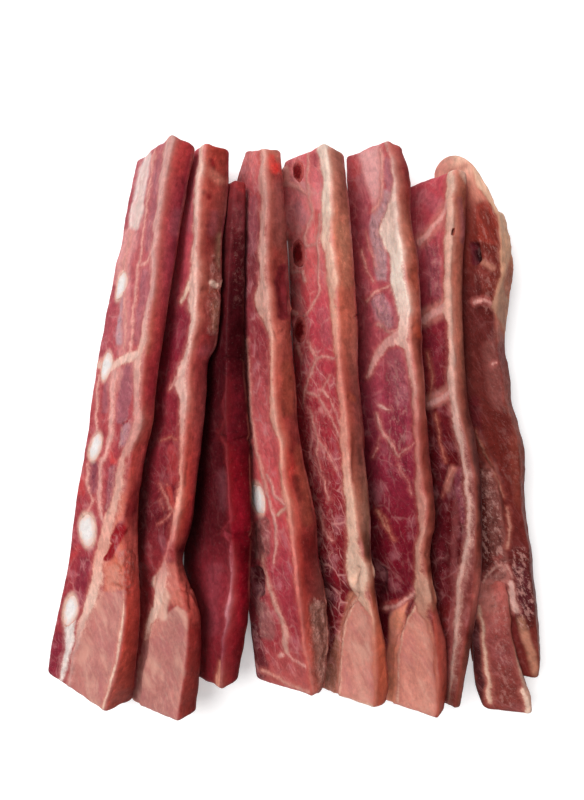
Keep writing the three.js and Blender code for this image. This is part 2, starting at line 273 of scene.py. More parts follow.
LOOKS["strip_1"] = {
    "web": 0.25,
    "tones": [
        (150, (192, 108, 116)), (300, (196, 100, 108)), (430, (182, 76, 84)), (560, (170, 68, 78)),
        (700, (162, 60, 68)),
    ],
    "skin": [
        (145, (220, 100, 96), (182, 56, 66)), (200, (204, 92, 94), (134, 30, 58)),
        (260, (200, 92, 96), (160, 60, 84)), (330, (210, 90, 86), (164, 54, 62)),
        (390, (178, 64, 70), (146, 38, 54)), (430, (214, 94, 88), (182, 84, 82)),
        (470, (206, 94, 82), (176, 80, 80)), (510, (158, 58, 58), (124, 36, 48)),
        (548, (212, 114, 98), (238, 130, 118)), (590, (210, 96, 80), (188, 80, 74)),
        (630, (224, 104, 84), (140, 48, 50)), (700, (196, 104, 86), (158, 84, 74)),
    ],
    "fat_tones": [
        (150, (214, 158, 150)), (300, (212, 153, 146)), (350, (226, 172, 158)),
        (400, (208, 144, 136)), (450, (210, 144, 134)), (500, (220, 165, 150)),
        (550, (224, 158, 142)), (600, (230, 186, 170)), (650, (204, 148, 140)),
    ],
    "fat_line": [
        (140, 168, 175), (150, 163, 172), (180, 160, 166), (200, 157, 163), (240, 152.5, 158),
        (280, 151, 156), (320, 143, 149), (340, 139, 147), (360, 133, 141), (400, 133, 140),
        (420, 135, 144), (440, 128, 138), (460, 118, 125), (480, 117, 124), (500, 113, 121),
        (520, 104, 115), (540, 98, 110), (560, 94, 104), (580, 92, 102), (600, 86, 98),
        (620, 79, 88), (640, 75, 81), (660, 71, 75), (690, 66, 70),
    ],
    "seams": [
        (0.3, 0.8, WHITE, [(150, 156), (143, 176), (139, 203), (135, 228)]),
        (0.9, 1.3, FAT_PINK,
         [(156, 150), (149, 185), (145, 215), (140, 250), (137, 275), (133, 310), (130, 345),
          (131, 358)]),
        (1.2, 1.8, FAT_PINK, [(139, 266), (146, 263), (152, 254), (157, 246)]),
        (0.8, 1.4, FAT_PINK, [(132, 232), (126, 262), (123, 285)]),
        (1.2, 0.8, FAT_PINK, [(124, 290), (126, 320), (123, 350)]),
        (4.0, 4.5, (230, 184, 170), [(100, 364), (112, 367), (124, 360), (137, 354)]),
        (3.5, 2.0, FAT_PINK, [(115, 372), (113, 400), (110, 440), (103, 460)]),
        (1.2, 1.2, FAT_PINK, [(98, 375), (98, 410), (96, 440)]),
        (2.2, 1.5, FAT_PINK, [(101, 460), (99, 500), (104, 524)]),
        (1.2, 0.8, FAT_PINK, [(88, 465), (88, 490), (94, 500), (86, 514)]),
        (5.0, 1.5, WHITE, [(71, 620), (70, 640), (66, 662), (61, 680)]),
        (2.4, 1.6, CREAM, [(126, 592), (124, 620), (119, 655), (110, 690), (104, 708)]),
    ],
    "areas": [
        ((212, 112, 88), 0.9, 5, 0,
         [(122, 492), (142, 492), (142, 600), (104, 600), (103, 560), (112, 540)]),
        (FLAP, 1.0, 2.5, 1.0,
         [(104, 592), (128, 590), (134, 620), (126, 670), (106, 716), (62, 692), (74, 655),
          (82, 628), (94, 608)]),
    ],
    "patches": [
        ((242, 220, 214), 0.95, 5.0, 4, [(148, 158), (142, 180), (139, 198)]),
        ((242, 220, 212), 0.95, 5.5, 4, [(138, 206), (134, 226)]),
        ((214, 156, 150), 0.7, 6, 7, [(104, 360), (118, 372), (114, 388)]),
        ((226, 160, 156), 0.8, 7, 6, [(130, 234), (125, 262), (122, 284)]),
        ((220, 152, 150), 0.6, 5, 5, [(124, 290), (126, 320), (122, 352)]),
        (MAUVE, 0.7, 5, 4, [(160, 158), (153, 210), (149, 248)]),
        (MAUVE, 0.7, 5, 3, [(146, 275), (141, 310), (135, 340)]),
        (LEAN, 0.6, 4, 3, [(131, 190), (126, 225)]),
        (LILAC, 0.8, 2.5, 3, [(123, 295), (121, 320), (119, 342)]),
        (LEAN, 0.8, 5, 3, [(113, 292), (106, 325), (101, 352)]),
        (MAUVE, 0.8, 3, 2, [(107, 386), (105, 412)]),
        (MAUVE, 0.9, 6, 3, [(131, 368), (125, 395), (120, 418)]),
        (LILAC, 0.6, 5, 3, [(128, 428), (124, 442)]),
        ((128, 58, 74), 0.9, 5, 2, [(94, 466), (93, 490)]),
        (MAUVE, 0.7, 5, 3, [(114, 470), (110, 508)]), (BRIGHT, 0.7, 3, 3, [(108, 448), (113, 460)]),
        (BRIGHT, 0.5, 4, 4, [(83, 478), (80, 492)]), (BRIGHT, 0.5, 3, 4, [(78, 548), (70, 560)]),
        (WINE, 0.8, 6, 3, [(84, 562), (80, 600)]), (WINE, 0.9, 8, 4, [(60, 640), (53, 668)]),
        ((140, 20, 30), 1.0, 6, 3, [(123, 527), (114, 540), (107, 556)]),
        (PEACH, 0.7, 6, 3, [(113, 571), (112, 586)]), (RUST, 0.6, 2, 3, [(112, 584), (130, 588)]),
    ],
    "holes": [
        ((150, 20, 32), 0.95, 5.5, 4.0, [(122, 530), (116, 540)]),
        ((140, 14, 26), 0.9, 3.5, 3.0, [(113, 547), (107, 557)]),
    ],
    "skin_patches": [
        (BRIGHT, 0.5, 6, 5, [(182, 148), (178, 170)]),
        (MAUVE, 0.35, 5, 8, [(177, 214), (174, 232)]),
        (ORANGE, 0.5, 4, 4, [(154, 280), (150, 320), (144, 352)]),
    ],
    "dents": [
        (0.7, 3, [(124, 526), (114, 538), (106, 554)]), (0.5, 2, [(112, 584), (130, 590)]),
        (-0.5, 9, [(128, 480), (124, 520)]),
    ],
    "grit": [
        (0.8, 6, [(128, 424), (124, 446)]), (0.7, 5, [(116, 470), (110, 508)]),
        (0.5, 4, [(122, 295), (119, 342)]), (0.6, 9, [(126, 560), (124, 585)]),
    ],
}

LOOKS["strip_2"] = {
    "foot_shade": 0.45,
    "web": 0.12,
    "tones": [
        (150, (236, 104, 124)), (260, (212, 96, 110)), (340, (160, 50, 70)), (430, (158, 56, 68)),
        (520, (118, 38, 48)), (565, (156, 58, 64)), (640, (170, 58, 64)),
    ],
    "skin": [
        (148, (200, 86, 72), (176, 74, 62)), (200, (194, 88, 76), (146, 80, 74)),
        (240, (150, 54, 52), (116, 66, 58)), (285, (166, 82, 68), (186, 122, 108)),
        (350, (186, 76, 74), (134, 54, 58)), (420, (200, 98, 88), (146, 66, 68)),
        (500, (246, 84, 72), (172, 62, 68)), (550, (78, 16, 20), (84, 22, 32)),
        (595, (236, 126, 108), (194, 88, 78)), (630, (176, 70, 62), (134, 36, 40)),
        (700, (176, 78, 66), (128, 44, 40)),
    ],
    "fat_tones": [
        (150, (234, 190, 176)), (200, (236, 192, 178)), (250, (236, 184, 170)),
        (325, (244, 198, 184)), (400, (236, 184, 172)), (450, (212, 134, 122)),
        (500, (248, 172, 154)), (550, (206, 114, 112)), (600, (240, 198, 180)),
    ],
    "fat_line": [
        (140, 200, 205), (150, 199, 204), (200, 194.5, 200), (240, 192.5, 197), (280, 190, 198),
        (300, 187, 197), (320, 191, 196), (340, 188.5, 192), (360, 182, 187), (380, 175, 187),
        (400, 181, 188), (440, 179.5, 183.5), (480, 180, 183), (500, 178, 182.5), (520, 172, 178),
        (540, 170, 174), (560, 163, 166), (575, 158, 168), (600, 154, 166), (615, 149, 158),
        (640, 146, 146),
    ],
    "seams": [
        (3.0, 0.8, CREAM, [(190, 284), (185, 293), (181, 302)]),
        (5.0, 1.5, (218, 150, 142), [(182, 376), (176, 382), (170, 388)]),
        (1.8, 0.0, (210, 134, 124), [(177, 512), (170, 508), (164, 496), (160, 482)]),
        (0.8, -0.2, (206, 130, 120), [(172, 512), (166, 519), (158, 524)]),
        (-0.2, 0.5, (200, 110, 100), [(166, 482), (170, 498), (176, 511)]),
        (0.0, -0.4, (200, 124, 116), [(160, 500), (163, 510)]),
        (-0.2, 0.2, PEACH, [(160, 440), (172, 438), (180, 440)]),
        (1.2, 0.8, FAT_PINK, [(188, 560), (192, 582), (190, 600)]),
        (1.6, 1.2, CREAM, [(190, 612), (189, 650), (185, 680), (178, 718)]),
    ],
    "areas": [
        ((200, 112, 96), 0.85, 7, 0,
         [(167, 564), (182, 560), (196, 580), (206, 604), (206, 632), (192, 632), (184, 608),
          (172, 604), (166, 585)]),
        (FLAP, 1.0, 2.5, 1.0,
         [(148, 630), (164, 616), (180, 606), (188, 614), (190, 650), (187, 680), (180, 724),
          (160, 722), (130, 708), (136, 678), (143, 645)]),
    ],
    "patches": [
        (MAUVE, 0.5, 4, 4, [(196, 160), (190, 230)]), (BRIGHT, 0.8, 3, 3, [(169, 490), (175, 512)]),
        (BRIGHT, 0.4, 5, 5, [(172, 450), (174, 480)]), (WINE, 0.6, 5, 4, [(184, 310), (178, 350)]),
        (MAUVE, 0.4, 4, 4, [(168, 560), (162, 540)]),
        (CREAM, 0.9, 6, 5, [(158, 582), (166, 596), (162, 614)]),
    ],
    "skin_patches": [
        (BLOOD, 0.8, 3, 3, [(211, 161), (213, 167)]), (BLOOD, 0.8, 3, 3, [(204, 193), (209, 197)]),
        (PEACH, 0.4, 5, 7, [(220, 180), (212, 172)]), (MAUVE, 0.3, 5, 8, [(214, 215), (212, 232)]),
        (TAN, 0.4, 5, 8, [(222, 238), (221, 262)]), (CREAM, 0.8, 2.5, 2, [(210, 283), (216, 286)]),
        (RUST, 0.7, 2, 3, [(208, 291), (220, 291)]), (TAN, 0.3, 4, 8, [(216, 305), (214, 330)]),
        (BLOOD, 0.5, 3, 3, [(208, 337), (213, 333)]), (MAUVE, 0.25, 5, 8, [(200, 352), (206, 350)]),
        (BLOOD, 0.9, 2.2, 2, [(186, 464), (185, 486)]),
        (BRIGHT, 0.6, 2, 2, [(181, 470), (182, 484)]),
    ],
    "dents": [
        (0.8, 2.2, [(203, 290), (222, 292)]), (-0.8, 3, [(212, 282)]), (0.5, 2.5, [(205, 195)]),
        (-1.2, 9, [(168, 590), (176, 606)]), (0.7, 2.0, [(178, 588), (192, 592)]),
        (0.6, 2, [(188, 570), (190, 606)]),
    ],
    "grit": [(0.5, 6, [(216, 260), (213, 330)]), (0.6, 3, [(158, 578), (150, 582)])],
}

LOOKS["strip_3"] = {
    "foot_shade": 0.5,
    "web": 0.03,
    # strip 3 lies low between strips 2 and 4: its dark tones and narrow side are painted shade over
    # the meat's own red
    "tones": [
        (180, (158, 66, 68)), (215, (112, 46, 50)), (300, (92, 28, 34)), (350, (74, 18, 26)),
        (440, (86, 24, 32)), (530, (92, 26, 34)), (595, (166, 58, 70)), (680, (122, 34, 42)),
    ],
    "skin": [
        (180, (150, 68, 70), (166, 78, 80)), (240, (96, 34, 40), (98, 34, 42)),
        (300, (74, 20, 28), (72, 18, 26)), (355, (68, 16, 22), (58, 10, 18)),
        (390, (120, 34, 46), (88, 22, 32)), (430, (116, 32, 44), (88, 20, 30)),
        (470, (148, 26, 42), (80, 12, 20)), (515, (176, 34, 56), (112, 20, 32)),
        (550, (112, 14, 28), (84, 8, 20)), (590, (190, 32, 54), (90, 10, 24)),
        (680, (156, 54, 60), (112, 34, 38)),
    ],
    # on this strip the fat's colours and line draw a thin painted highlight along the ridge
    "fat_tones": [
        (200, (104, 40, 44)), (360, (92, 30, 38)), (450, (138, 50, 56)), (540, (152, 58, 70)),
        (600, (214, 140, 148)), (650, (144, 68, 80)), (680, (164, 92, 86)),
    ],
    "fat_line": [
        (180, 230, 230), (370, 226, 226), (380, 225.5, 226.2), (420, 224.4, 225.2), (434, 216, 217),
        (446, 224.8, 225.8), (480, 227.3, 228.3), (520, 230.2, 231.2), (530, 221, 223),
        (545, 230.5, 231.5), (580, 230, 231.5), (600, 228, 231), (620, 225, 228), (640, 223, 224.5),
        (680, 220, 224),
    ],
    "seams": [(1.0, 3.5, PEACH, [(222, 660), (220, 674), (217, 690)])],
    "patches": [
        # painted highlight on the face beside the ridge
        ((150, 70, 80), 0.4, 7, 10, [(214, 570), (212, 630)]),
        (MAUVE, 0.2, 5, 9, [(222, 474), (224, 506)]),
    ],
    "skin_patches": [
        ((140, 66, 72), 0.5, 5, 6, [(238, 208), (242, 226)]),
        (BRIGHT, 0.4, 5, 5, [(240, 182), (246, 188)]),
    ],
    "dents": [
        (0.9, 2.2, [(226, 357), (238, 359), (250, 361)]),
        (1.2, 2.5, [(212, 434), (232, 441), (252, 437)]),
        (1.2, 2.5, [(216, 530), (235, 537), (252, 533)]),
    ],
    "grit": [(0.15, 6, [(238, 212), (240, 300)])],
}

LOOKS["strip_4"] = {
    "foot_shade": 0.55,
    "web": 0.3,
    "tones": [
        (150, (238, 140, 134)), (190, (194, 94, 98)), (260, (152, 74, 80)), (340, (170, 72, 80)),
        (430, (214, 114, 114)), (500, (232, 102, 106)), (570, (186, 74, 88)), (640, (174, 68, 76)),
        (690, (200, 112, 104)),
    ],
    "skin": [
        (150, (166, 68, 58), (170, 66, 58)), (190, (140, 66, 62), (166, 80, 78)),
        (240, (136, 58, 50), (174, 94, 80)), (290, (150, 62, 56), (158, 72, 66)),
        (340, (208, 116, 102), (164, 76, 60)), (395, (198, 84, 74), (142, 70, 62)),
        (430, (178, 78, 70), (136, 62, 58)), (465, (196, 66, 58), (142, 64, 60)),
        (510, (212, 104, 92), (124, 54, 50)), (545, (168, 50, 48), (120, 42, 42)),
        (590, (150, 52, 50), (130, 84, 76)), (630, (196, 100, 84), (168, 110, 94)),
        (690, (184, 98, 82), (176, 114, 94)),
    ],
    "fat_tones": [
        (170, (216, 158, 146)), (200, (204, 148, 138)), (275, (230, 176, 162)),
        (350, (230, 166, 148)), (425, (236, 170, 152)), (500, (220, 148, 130)),
        (550, (224, 128, 118)), (625, (194, 102, 94)), (690, (204, 122, 110)),
    ],
    "fat_line": [
        (175, 261, 266), (200, 262, 268), (240, 260, 266), (280, 260, 266), (300, 255, 269),
        (320, 262, 271), (340, 270, 273.5), (380, 270, 273.5), (420, 270.5, 277), (440, 279, 282.5),
        (480, 281, 284), (500, 283, 290), (520, 288, 293), (540, 290, 294.5), (560, 291, 297),
        (580, 294, 299), (600, 297, 300), (640, 302, 306), (660, 306, 309), (690, 311, 314),
    ],
    "seams": [
        (1.2, 1.8, (218, 146, 136),
         [(247, 340), (249, 380), (251, 420), (256, 445), (262, 470), (266, 492)]),
        (1.8, 1.0, FAT_PINK, [(266, 492), (273, 512), (277, 540), (274, 562)]),
        (0.8, 1.6, FAT_PINK, [(266, 474), (275, 494), (287, 507)]),
        (2.2, 1.5, (222, 164, 148), [(278, 514), (286, 508)]),
        (0.8, 3.2, (210, 150, 138), [(262, 556), (268, 582), (276, 604), (284, 632), (287, 650)]),
        (0.8, 1.0, FAT_PINK, [(286, 650), (298, 662), (306, 668)]),
        (2.6, 2.6, FAT_PINK, [(282, 655)]),
        (1.2, 1.6, (206, 140, 128), [(262, 670), (285, 682), (312, 692)]),
    ],
    "patches": [
        ((196, 70, 66), 0.8, 8, 6, [(264, 158), (274, 164)]),
        (CREAM, 0.6, 3, 3, [(262, 178), (264, 192)]), (MAUVE, 0.5, 5, 4, [(254, 200), (252, 250)]),
        ((140, 88, 84), 0.7, 8, 5, [(262, 524), (262, 552)]),
        (DEEP, 0.95, 6, 3, [(257, 572), (260, 590)]),
        ((156, 104, 100), 0.6, 7, 5, [(262, 606), (268, 634)]),
        # painted shade on the low left part of the face near the foot
        (DEEP, 0.8, 8, 4, [(252, 632), (262, 672)]),
    ],
    "skin_patches": [
        ((220, 140, 120), 0.4, 10, 8, [(270, 152), (276, 162)]),
        ((206, 50, 46), 0.95, 6, 5, [(270, 160), (274, 168)]),
        ((140, 78, 72), 0.4, 9, 9, [(276, 190), (280, 240)]),
        ((116, 34, 40), 0.95, 7.5, 2.5, [(285, 272), (280, 290), (284, 312)]),
        (RUST, 0.7, 6, 5, [(286, 366), (288, 410)]), (RUST, 0.6, 6, 5, [(300, 450), (306, 520)]),
        ((112, 36, 34), 0.6, 2.5, 4, [(282, 402), (284, 414)]),
        ((116, 38, 36), 0.6, 3, 4, [(289, 434), (292, 448)]),
        ((112, 36, 34), 0.65, 3, 4, [(297, 478), (300, 500)]),
        ((206, 122, 98), 0.5, 2, 3, [(286, 474), (290, 492)]),
        ((104, 32, 32), 0.6, 4, 5, [(304, 538), (306, 558)]),
        ((150, 104, 92), 0.8, 9, 5, [(318, 610), (322, 650), (318, 684)]),
    ],
    "dents": [
        (-0.9, 4, [(280, 176), (283, 240)]), (3.5, 5, [(257, 572), (260, 590)]),
        (1.0, 5, [(285, 275), (281, 292), (285, 308)]), (-1.0, 5, [(262, 306)]),
        (0.7, 2, [(270, 322), (276, 336), (282, 332)]),
    ],
    "grit": [(0.8, 9, [(316, 606), (320, 684)]), (0.6, 7, [(262, 524), (262, 630)])],
}

LOOKS["strip_5"] = {
    "foot_shade": 0.6,
    "rib_ring": (226, 138, 134),
    "web": 0.6,
    "tones": [
        (150, (226, 116, 122)), (200, (255, 168, 168)), (240, (255, 156, 152)),
        (310, (226, 98, 112)), (350, (208, 88, 100)), (390, (196, 70, 84)), (450, (180, 64, 74)),
        (540, (142, 36, 48)), (610, (130, 34, 44)),
    ],
    "skin": [
        (150, (184, 128, 110), (172, 116, 98)), (180, (160, 98, 82), (184, 118, 100)),
        (200, (180, 118, 96), (182, 108, 92)), (230, (228, 152, 120), (188, 126, 102)),
        (270, (208, 122, 96), (192, 110, 92)), (310, (206, 118, 92), (190, 112, 94)),
        (350, (192, 112, 92), (186, 114, 98)), (395, (142, 66, 62), (150, 88, 80)),
        (450, (134, 66, 58), (168, 100, 90)), (510, (146, 94, 72), (192, 148, 122)),
        (556, (70, 40, 30), (66, 36, 26)), (590, (120, 56, 40), (88, 30, 22)),
        (640, (234, 132, 96), (190, 106, 76)), (700, (212, 118, 84), (204, 116, 88)),
    ],
    "fat_tones": [
        (150, (240, 210, 194)), (200, (255, 226, 206)), (250, (250, 202, 180)),
        (300, (236, 176, 154)), (375, (218, 134, 120)), (450, (234, 160, 142)),
        (500, (228, 182, 160)), (575, (228, 188, 166)), (650, (196, 120, 100)),
    ],
    "fat_line": [
        (140, 318, 330), (150, 316, 328), (180, 324, 331), (200, 321, 331), (240, 321, 330),
        (260, 327, 334), (280, 328, 338), (300, 330, 335), (320, 331, 338), (360, 336, 340.5),
        (400, 338, 345), (440, 341, 348.5), (480, 343, 350), (500, 345, 356), (520, 346, 356),
        (540, 348, 357), (554, 346, 359), (564, 346, 366), (580, 348, 368), (594, 354, 366),
        (606, 362, 369), (620, 371.5, 374), (680, 375, 377), (706, 374, 376),
    ],
    "seams": [
        (1.2, 1.4, FAT_PINK, [(308, 150), (309, 190), (312, 215), (306, 235), (303, 246)]),
        (3.0, 1.5, FAT_PINK, [(286, 170), (289, 184), (300, 188), (309, 194)]),
        (1.6, 1.0, FAT_PINK, [(303, 246), (312, 245), (322, 242)]),
        (2.0, 1.5, FAT_PINK, [(289, 232), (292, 272), (303, 272), (306, 282)]),
        (1.5, 0.8, FAT_PINK, [(319, 216), (318, 250), (320, 290), (312, 308), (303, 317)]),
        (2.4, 1.6, FAT_PINK, [(293, 312), (302, 320), (303, 334), (297, 348), (301, 354)]),
        (1.0, 0.7, FAT_PINK, [(308, 341), (316, 358), (306, 388), (304, 404)]),
        (1.0, 0.6, FAT_PINK, [(316, 358), (326, 356), (334, 358)]),
        (0.6, 0.9, FAT_PINK, [(330, 375), (322, 390), (328, 398)]),
        (0.6, 0.6, FAT_PINK, [(306, 392), (318, 396), (322, 390)]),
        (0.6, 0.6, FAT_PINK, [(310, 410), (318, 440), (315, 455), (320, 470)]),
        (0.7, 0.6, FAT_PINK, [(320, 400), (330, 418), (340, 436)]),
        (0.7, 0.6, FAT_PINK, [(330, 400), (336, 416), (342, 430)]),
        (0.6, 0.5, FAT_PINK, [(318, 440), (328, 452), (336, 470)]),
        (0.6, 0.5, FAT_PINK, [(316, 470), (325, 480), (330, 500)]),
        (0.6, 0.5, FAT_PINK, [(320, 516), (324, 530), (333, 540)]),
        (0.9, 0.4, (222, 176, 156), [(366, 590), (352, 604), (346, 624), (341, 660), (340, 700)]),
        (1.4, 1.4, (226, 182, 162), [(342, 698), (358, 702), (375, 707)]),
    ],
    "areas": [
        ((182, 114, 90), 0.9, 3, 0.2,
         [(349, 592), (356, 596), (346, 622), (341, 656), (340, 700), (316, 692), (334, 640)]),
        ((208, 136, 122), 1.0, 2, 0.8,
         [(367, 588), (352, 604), (346, 622), (341, 656), (338, 704), (377, 716), (380, 684),
          (376, 630)]),
    ],
    "patches": [
        (LILAC, 0.6, 5, 4, [(290, 182), (306, 188)]), (LILAC, 0.35, 5, 5, [(298, 206), (304, 220)]),
        (BRIGHT, 0.6, 4, 4, [(314, 214), (317, 232)]), (WINE, 0.5, 3, 3, [(313, 156), (316, 166)]),
        (BRIGHT, 0.35, 8, 6, [(310, 260), (304, 300)]),
        ((190, 104, 112), 0.4, 6, 6, [(322, 312), (328, 340)]),
        ((224, 160, 158), 0.6, 5, 5, [(298, 186), (306, 192)]),
        ((220, 150, 146), 0.6, 4, 5, [(290, 222), (300, 230)]),
        ((214, 140, 138), 0.5, 5, 5, [(296, 288), (300, 310)]),
        (DEEP, 0.7, 6, 5, [(326, 566), (330, 600)]),
    ],
    "skin_patches": [
        (ORANGE, 0.9, 2, 2.5, [(335, 213)]), (RUST, 0.8, 2.5, 3, [(342, 307), (338, 310)]),
        (TAN, 0.25, 5, 9, [(340, 230), (346, 282)]), (RUST, 0.9, 3, 3, [(348, 394), (354, 400)]),
        (BROWN, 0.5, 5, 7, [(356, 430), (354, 484)]), (BROWN, 0.5, 3, 4, [(345, 340), (352, 372)]),
        ((150, 104, 92), 0.5, 4, 4, [(361, 504), (362, 530)]),
        ((72, 34, 28), 0.6, 2, 4, [(359, 446), (361, 462)]),
        ((76, 40, 32), 0.6, 2.5, 4, [(364, 534), (368, 560)]),
    ],
    "dents": [
        (0.8, 1.3, [(336, 308), (346, 313), (356, 318)]),
        (-1.8, 4, [(286, 172), (288, 200), (290, 235)]), (2.0, 3.0, [(356, 570), (354, 580)]),
        (1.6, 2.0, [(351, 594), (343, 612), (338, 632)]), (-0.8, 4, [(364, 572), (362, 588)]),
        (0.8, 4, [(356, 436), (354, 480)]), (0.6, 2.5, [(350, 398)]),
    ],
    "grit": [(0.5, 7, [(334, 640), (330, 690)]), (0.4, 12, [(312, 360), (326, 560)])],
}

LOOKS["strip_6"] = {
    "foot_shade": 0.55,
    "web": 0.2,
    "tones": [
        (150, (216, 112, 114)), (210, (176, 72, 86)), (260, (200, 102, 114)), (350, (188, 92, 102)),
        (400, (178, 76, 96)), (460, (160, 56, 78)), (530, (134, 32, 50)), (600, (120, 26, 44)),
    ],
    "skin": [
        (150, (200, 118, 110), (170, 82, 76)), (170, (158, 72, 68), (146, 54, 56)),
        (195, (152, 74, 64), (154, 62, 56)), (230, (202, 132, 106), (178, 100, 80)),
        (270, (172, 90, 70), (154, 74, 60)), (310, (174, 96, 74), (176, 94, 78)),
        (350, (126, 52, 40), (98, 28, 24)), (390, (78, 30, 28), (88, 34, 32)),
        (450, (116, 50, 42), (136, 74, 66)), (510, (110, 60, 50), (138, 72, 62)),
        # the dark colours near y 588 are painted shade on the narrow side
        (550, (126, 56, 46), (94, 36, 34)), (588, (70, 36, 26), (50, 20, 12)),
        (630, (190, 98, 84), (176, 96, 84)), (700, (176, 88, 72), (138, 66, 52)),
    ],
    "fat_tones": [
        (150, (210, 158, 150)), (200, (236, 196, 182)), (275, (255, 236, 220)),
        (350, (242, 184, 170)), (425, (186, 106, 98)), (525, (210, 144, 130)),
        (590, (196, 144, 124)), (650, (176, 100, 84)),
    ],
    "fat_line": [
        (140, 384, 387), (152, 388, 390), (160, 392, 394), (180, 394, 396.5), (200, 391, 397),
        (210, 388, 397.5), (220, 383, 399), (230, 379, 400), (240, 382, 402), (260, 390, 404),
        (280, 391, 403), (290, 392, 408), (300, 395, 410), (310, 397, 412), (320, 399, 409),
        (330, 398, 409), (340, 390, 408), (350, 405, 411), (370, 409, 414), (390, 412, 417),
        (420, 413, 419), (460, 416, 420), (490, 416, 423), (500, 417, 427), (520, 418, 425),
        (530, 420, 427), (550, 416, 421), (570, 416, 421), (580, 416, 429), (600, 414, 432),
        (612, 418, 428), (620, 426, 428), (650, 434, 436), (706, 437, 439),
    ],
    "seams": [
        (1.6, 1.6, FAT_PINK, [(381, 150), (383, 175), (381, 198), (372, 212)]),
        (6.0, 1.2, FAT_PINK, [(398, 336), (386, 344), (377, 356), (368, 376)]),
        (1.0, 0.5, FAT_PINK, [(361, 250), (366, 268), (373, 282)]),
        (0.8, 0.5, FAT_PINK, [(366, 232), (370, 250), (376, 268)]),
        (1.4, 1.0, FAT_PINK, [(367, 300), (376, 292), (388, 286), (394, 284)]),
        (1.2, 0.6, FAT_PINK, [(378, 325), (390, 332), (400, 328)]),
        (1.2, 0.7, (232, 186, 178), [(380, 406), (388, 410)]),
        (1.6, 0.8, FAT_PINK, [(377, 415), (381, 428), (389, 440), (398, 458)]),
        (0.3, -0.2, FAT_PINK, [(372, 458), (377, 450), (380, 438)]),
        (0.4, 0.1, FAT_PINK, [(398, 458), (408, 448), (414, 444)]),
        (-0.1, -0.2, FAT_PINK, [(398, 465), (406, 478), (412, 495)]),
        (0.0, 0.2, PEACH, [(376, 510), (386, 518), (390, 532)]),
        (1.2, 0.2, PEACH, [(378, 512), (384, 524), (395, 542)]),
        (2.0, 1.6, FAT_PINK, [(384, 608), (396, 606), (408, 598), (414, 592)]),
        (0.9, 0.4, (222, 176, 156), [(414, 606), (404, 628), (400, 645), (398, 670), (397, 704)]),
    ],
    "areas": [
        ((240, 190, 186), 0.7, 9, 0.2,
         [(358, 152), (380, 144), (384, 160), (382, 195), (374, 208), (366, 186)]),
        ((202, 160, 164), 0.85, 4, 0,
         [(383, 190), (397, 190), (391, 206), (380, 224), (385, 250), (386, 280), (376, 280),
          (372, 250), (368, 224), (374, 206)]),
        ((184, 116, 126), 0.85, 2.5, 0,
         [(386, 158), (396, 160), (397, 188), (389, 194), (385, 180)]),
        ((234, 150, 120), 0.9, 4, 0.2,
         [(390, 612), (408, 602), (402, 628), (398, 660), (397, 706), (378, 700), (388, 650)]),
        ((208, 136, 120), 1.0, 2, 0.8,
         [(414, 605), (404, 628), (400, 642), (397, 670), (394, 708), (434, 722), (442, 698),
          (438, 660), (427, 618)]),
    ],
    "patches": [
        (BRIGHT, 0.5, 4, 5, [(354, 162), (358, 190)]), (ROSE, 0.6, 5, 5, [(362, 180), (364, 230)]),
        ((196, 140, 148), 0.8, 8, 5, [(380, 302), (386, 322)]),
        (ROSE, 0.5, 4, 4, [(394, 304), (396, 326)]), (MAUVE, 0.5, 8, 6, [(394, 356), (402, 400)]),
        (DEEP, 0.9, 5, 4, [(380, 568), (381, 590)]), (BRIGHT, 0.5, 3, 3, [(386, 604), (396, 602)]),
    ],
    "skin_patches": [
        (RUST, 0.8, 4, 4, [(412, 272), (416, 284)]),
        ((160, 60, 40), 0.8, 5, 4, [(412, 322), (416, 334)]),
        (BROWN, 0.5, 5, 5, [(420, 370), (424, 430)]), (BROWN, 0.8, 4, 3, [(424, 550), (428, 560)]),
        (TAN, 0.35, 6, 4, [(422, 596), (430, 606)]),
        ((182, 82, 64), 0.9, 4, 3, [(428, 616), (432, 632), (435, 642)]),
    ],
    "dents": [
        (2.2, 5, [(380, 572), (381, 588)]), (0.6, 3, [(414, 276)]), (0.8, 3, [(414, 328)]),
        (1.0, 3, [(426, 555)]), (-0.8, 5, [(424, 590), (428, 602)]),
        (0.9, 2.5, [(430, 620), (434, 640)]), (1.2, 2.0, [(406, 616), (400, 634)]),
    ],
    "grit": [
        (0.55, 6, [(390, 200), (376, 226), (381, 270)]), (0.8, 7, [(380, 300), (388, 322)]),
        (0.5, 10, [(396, 370), (400, 470)]),
    ],
}

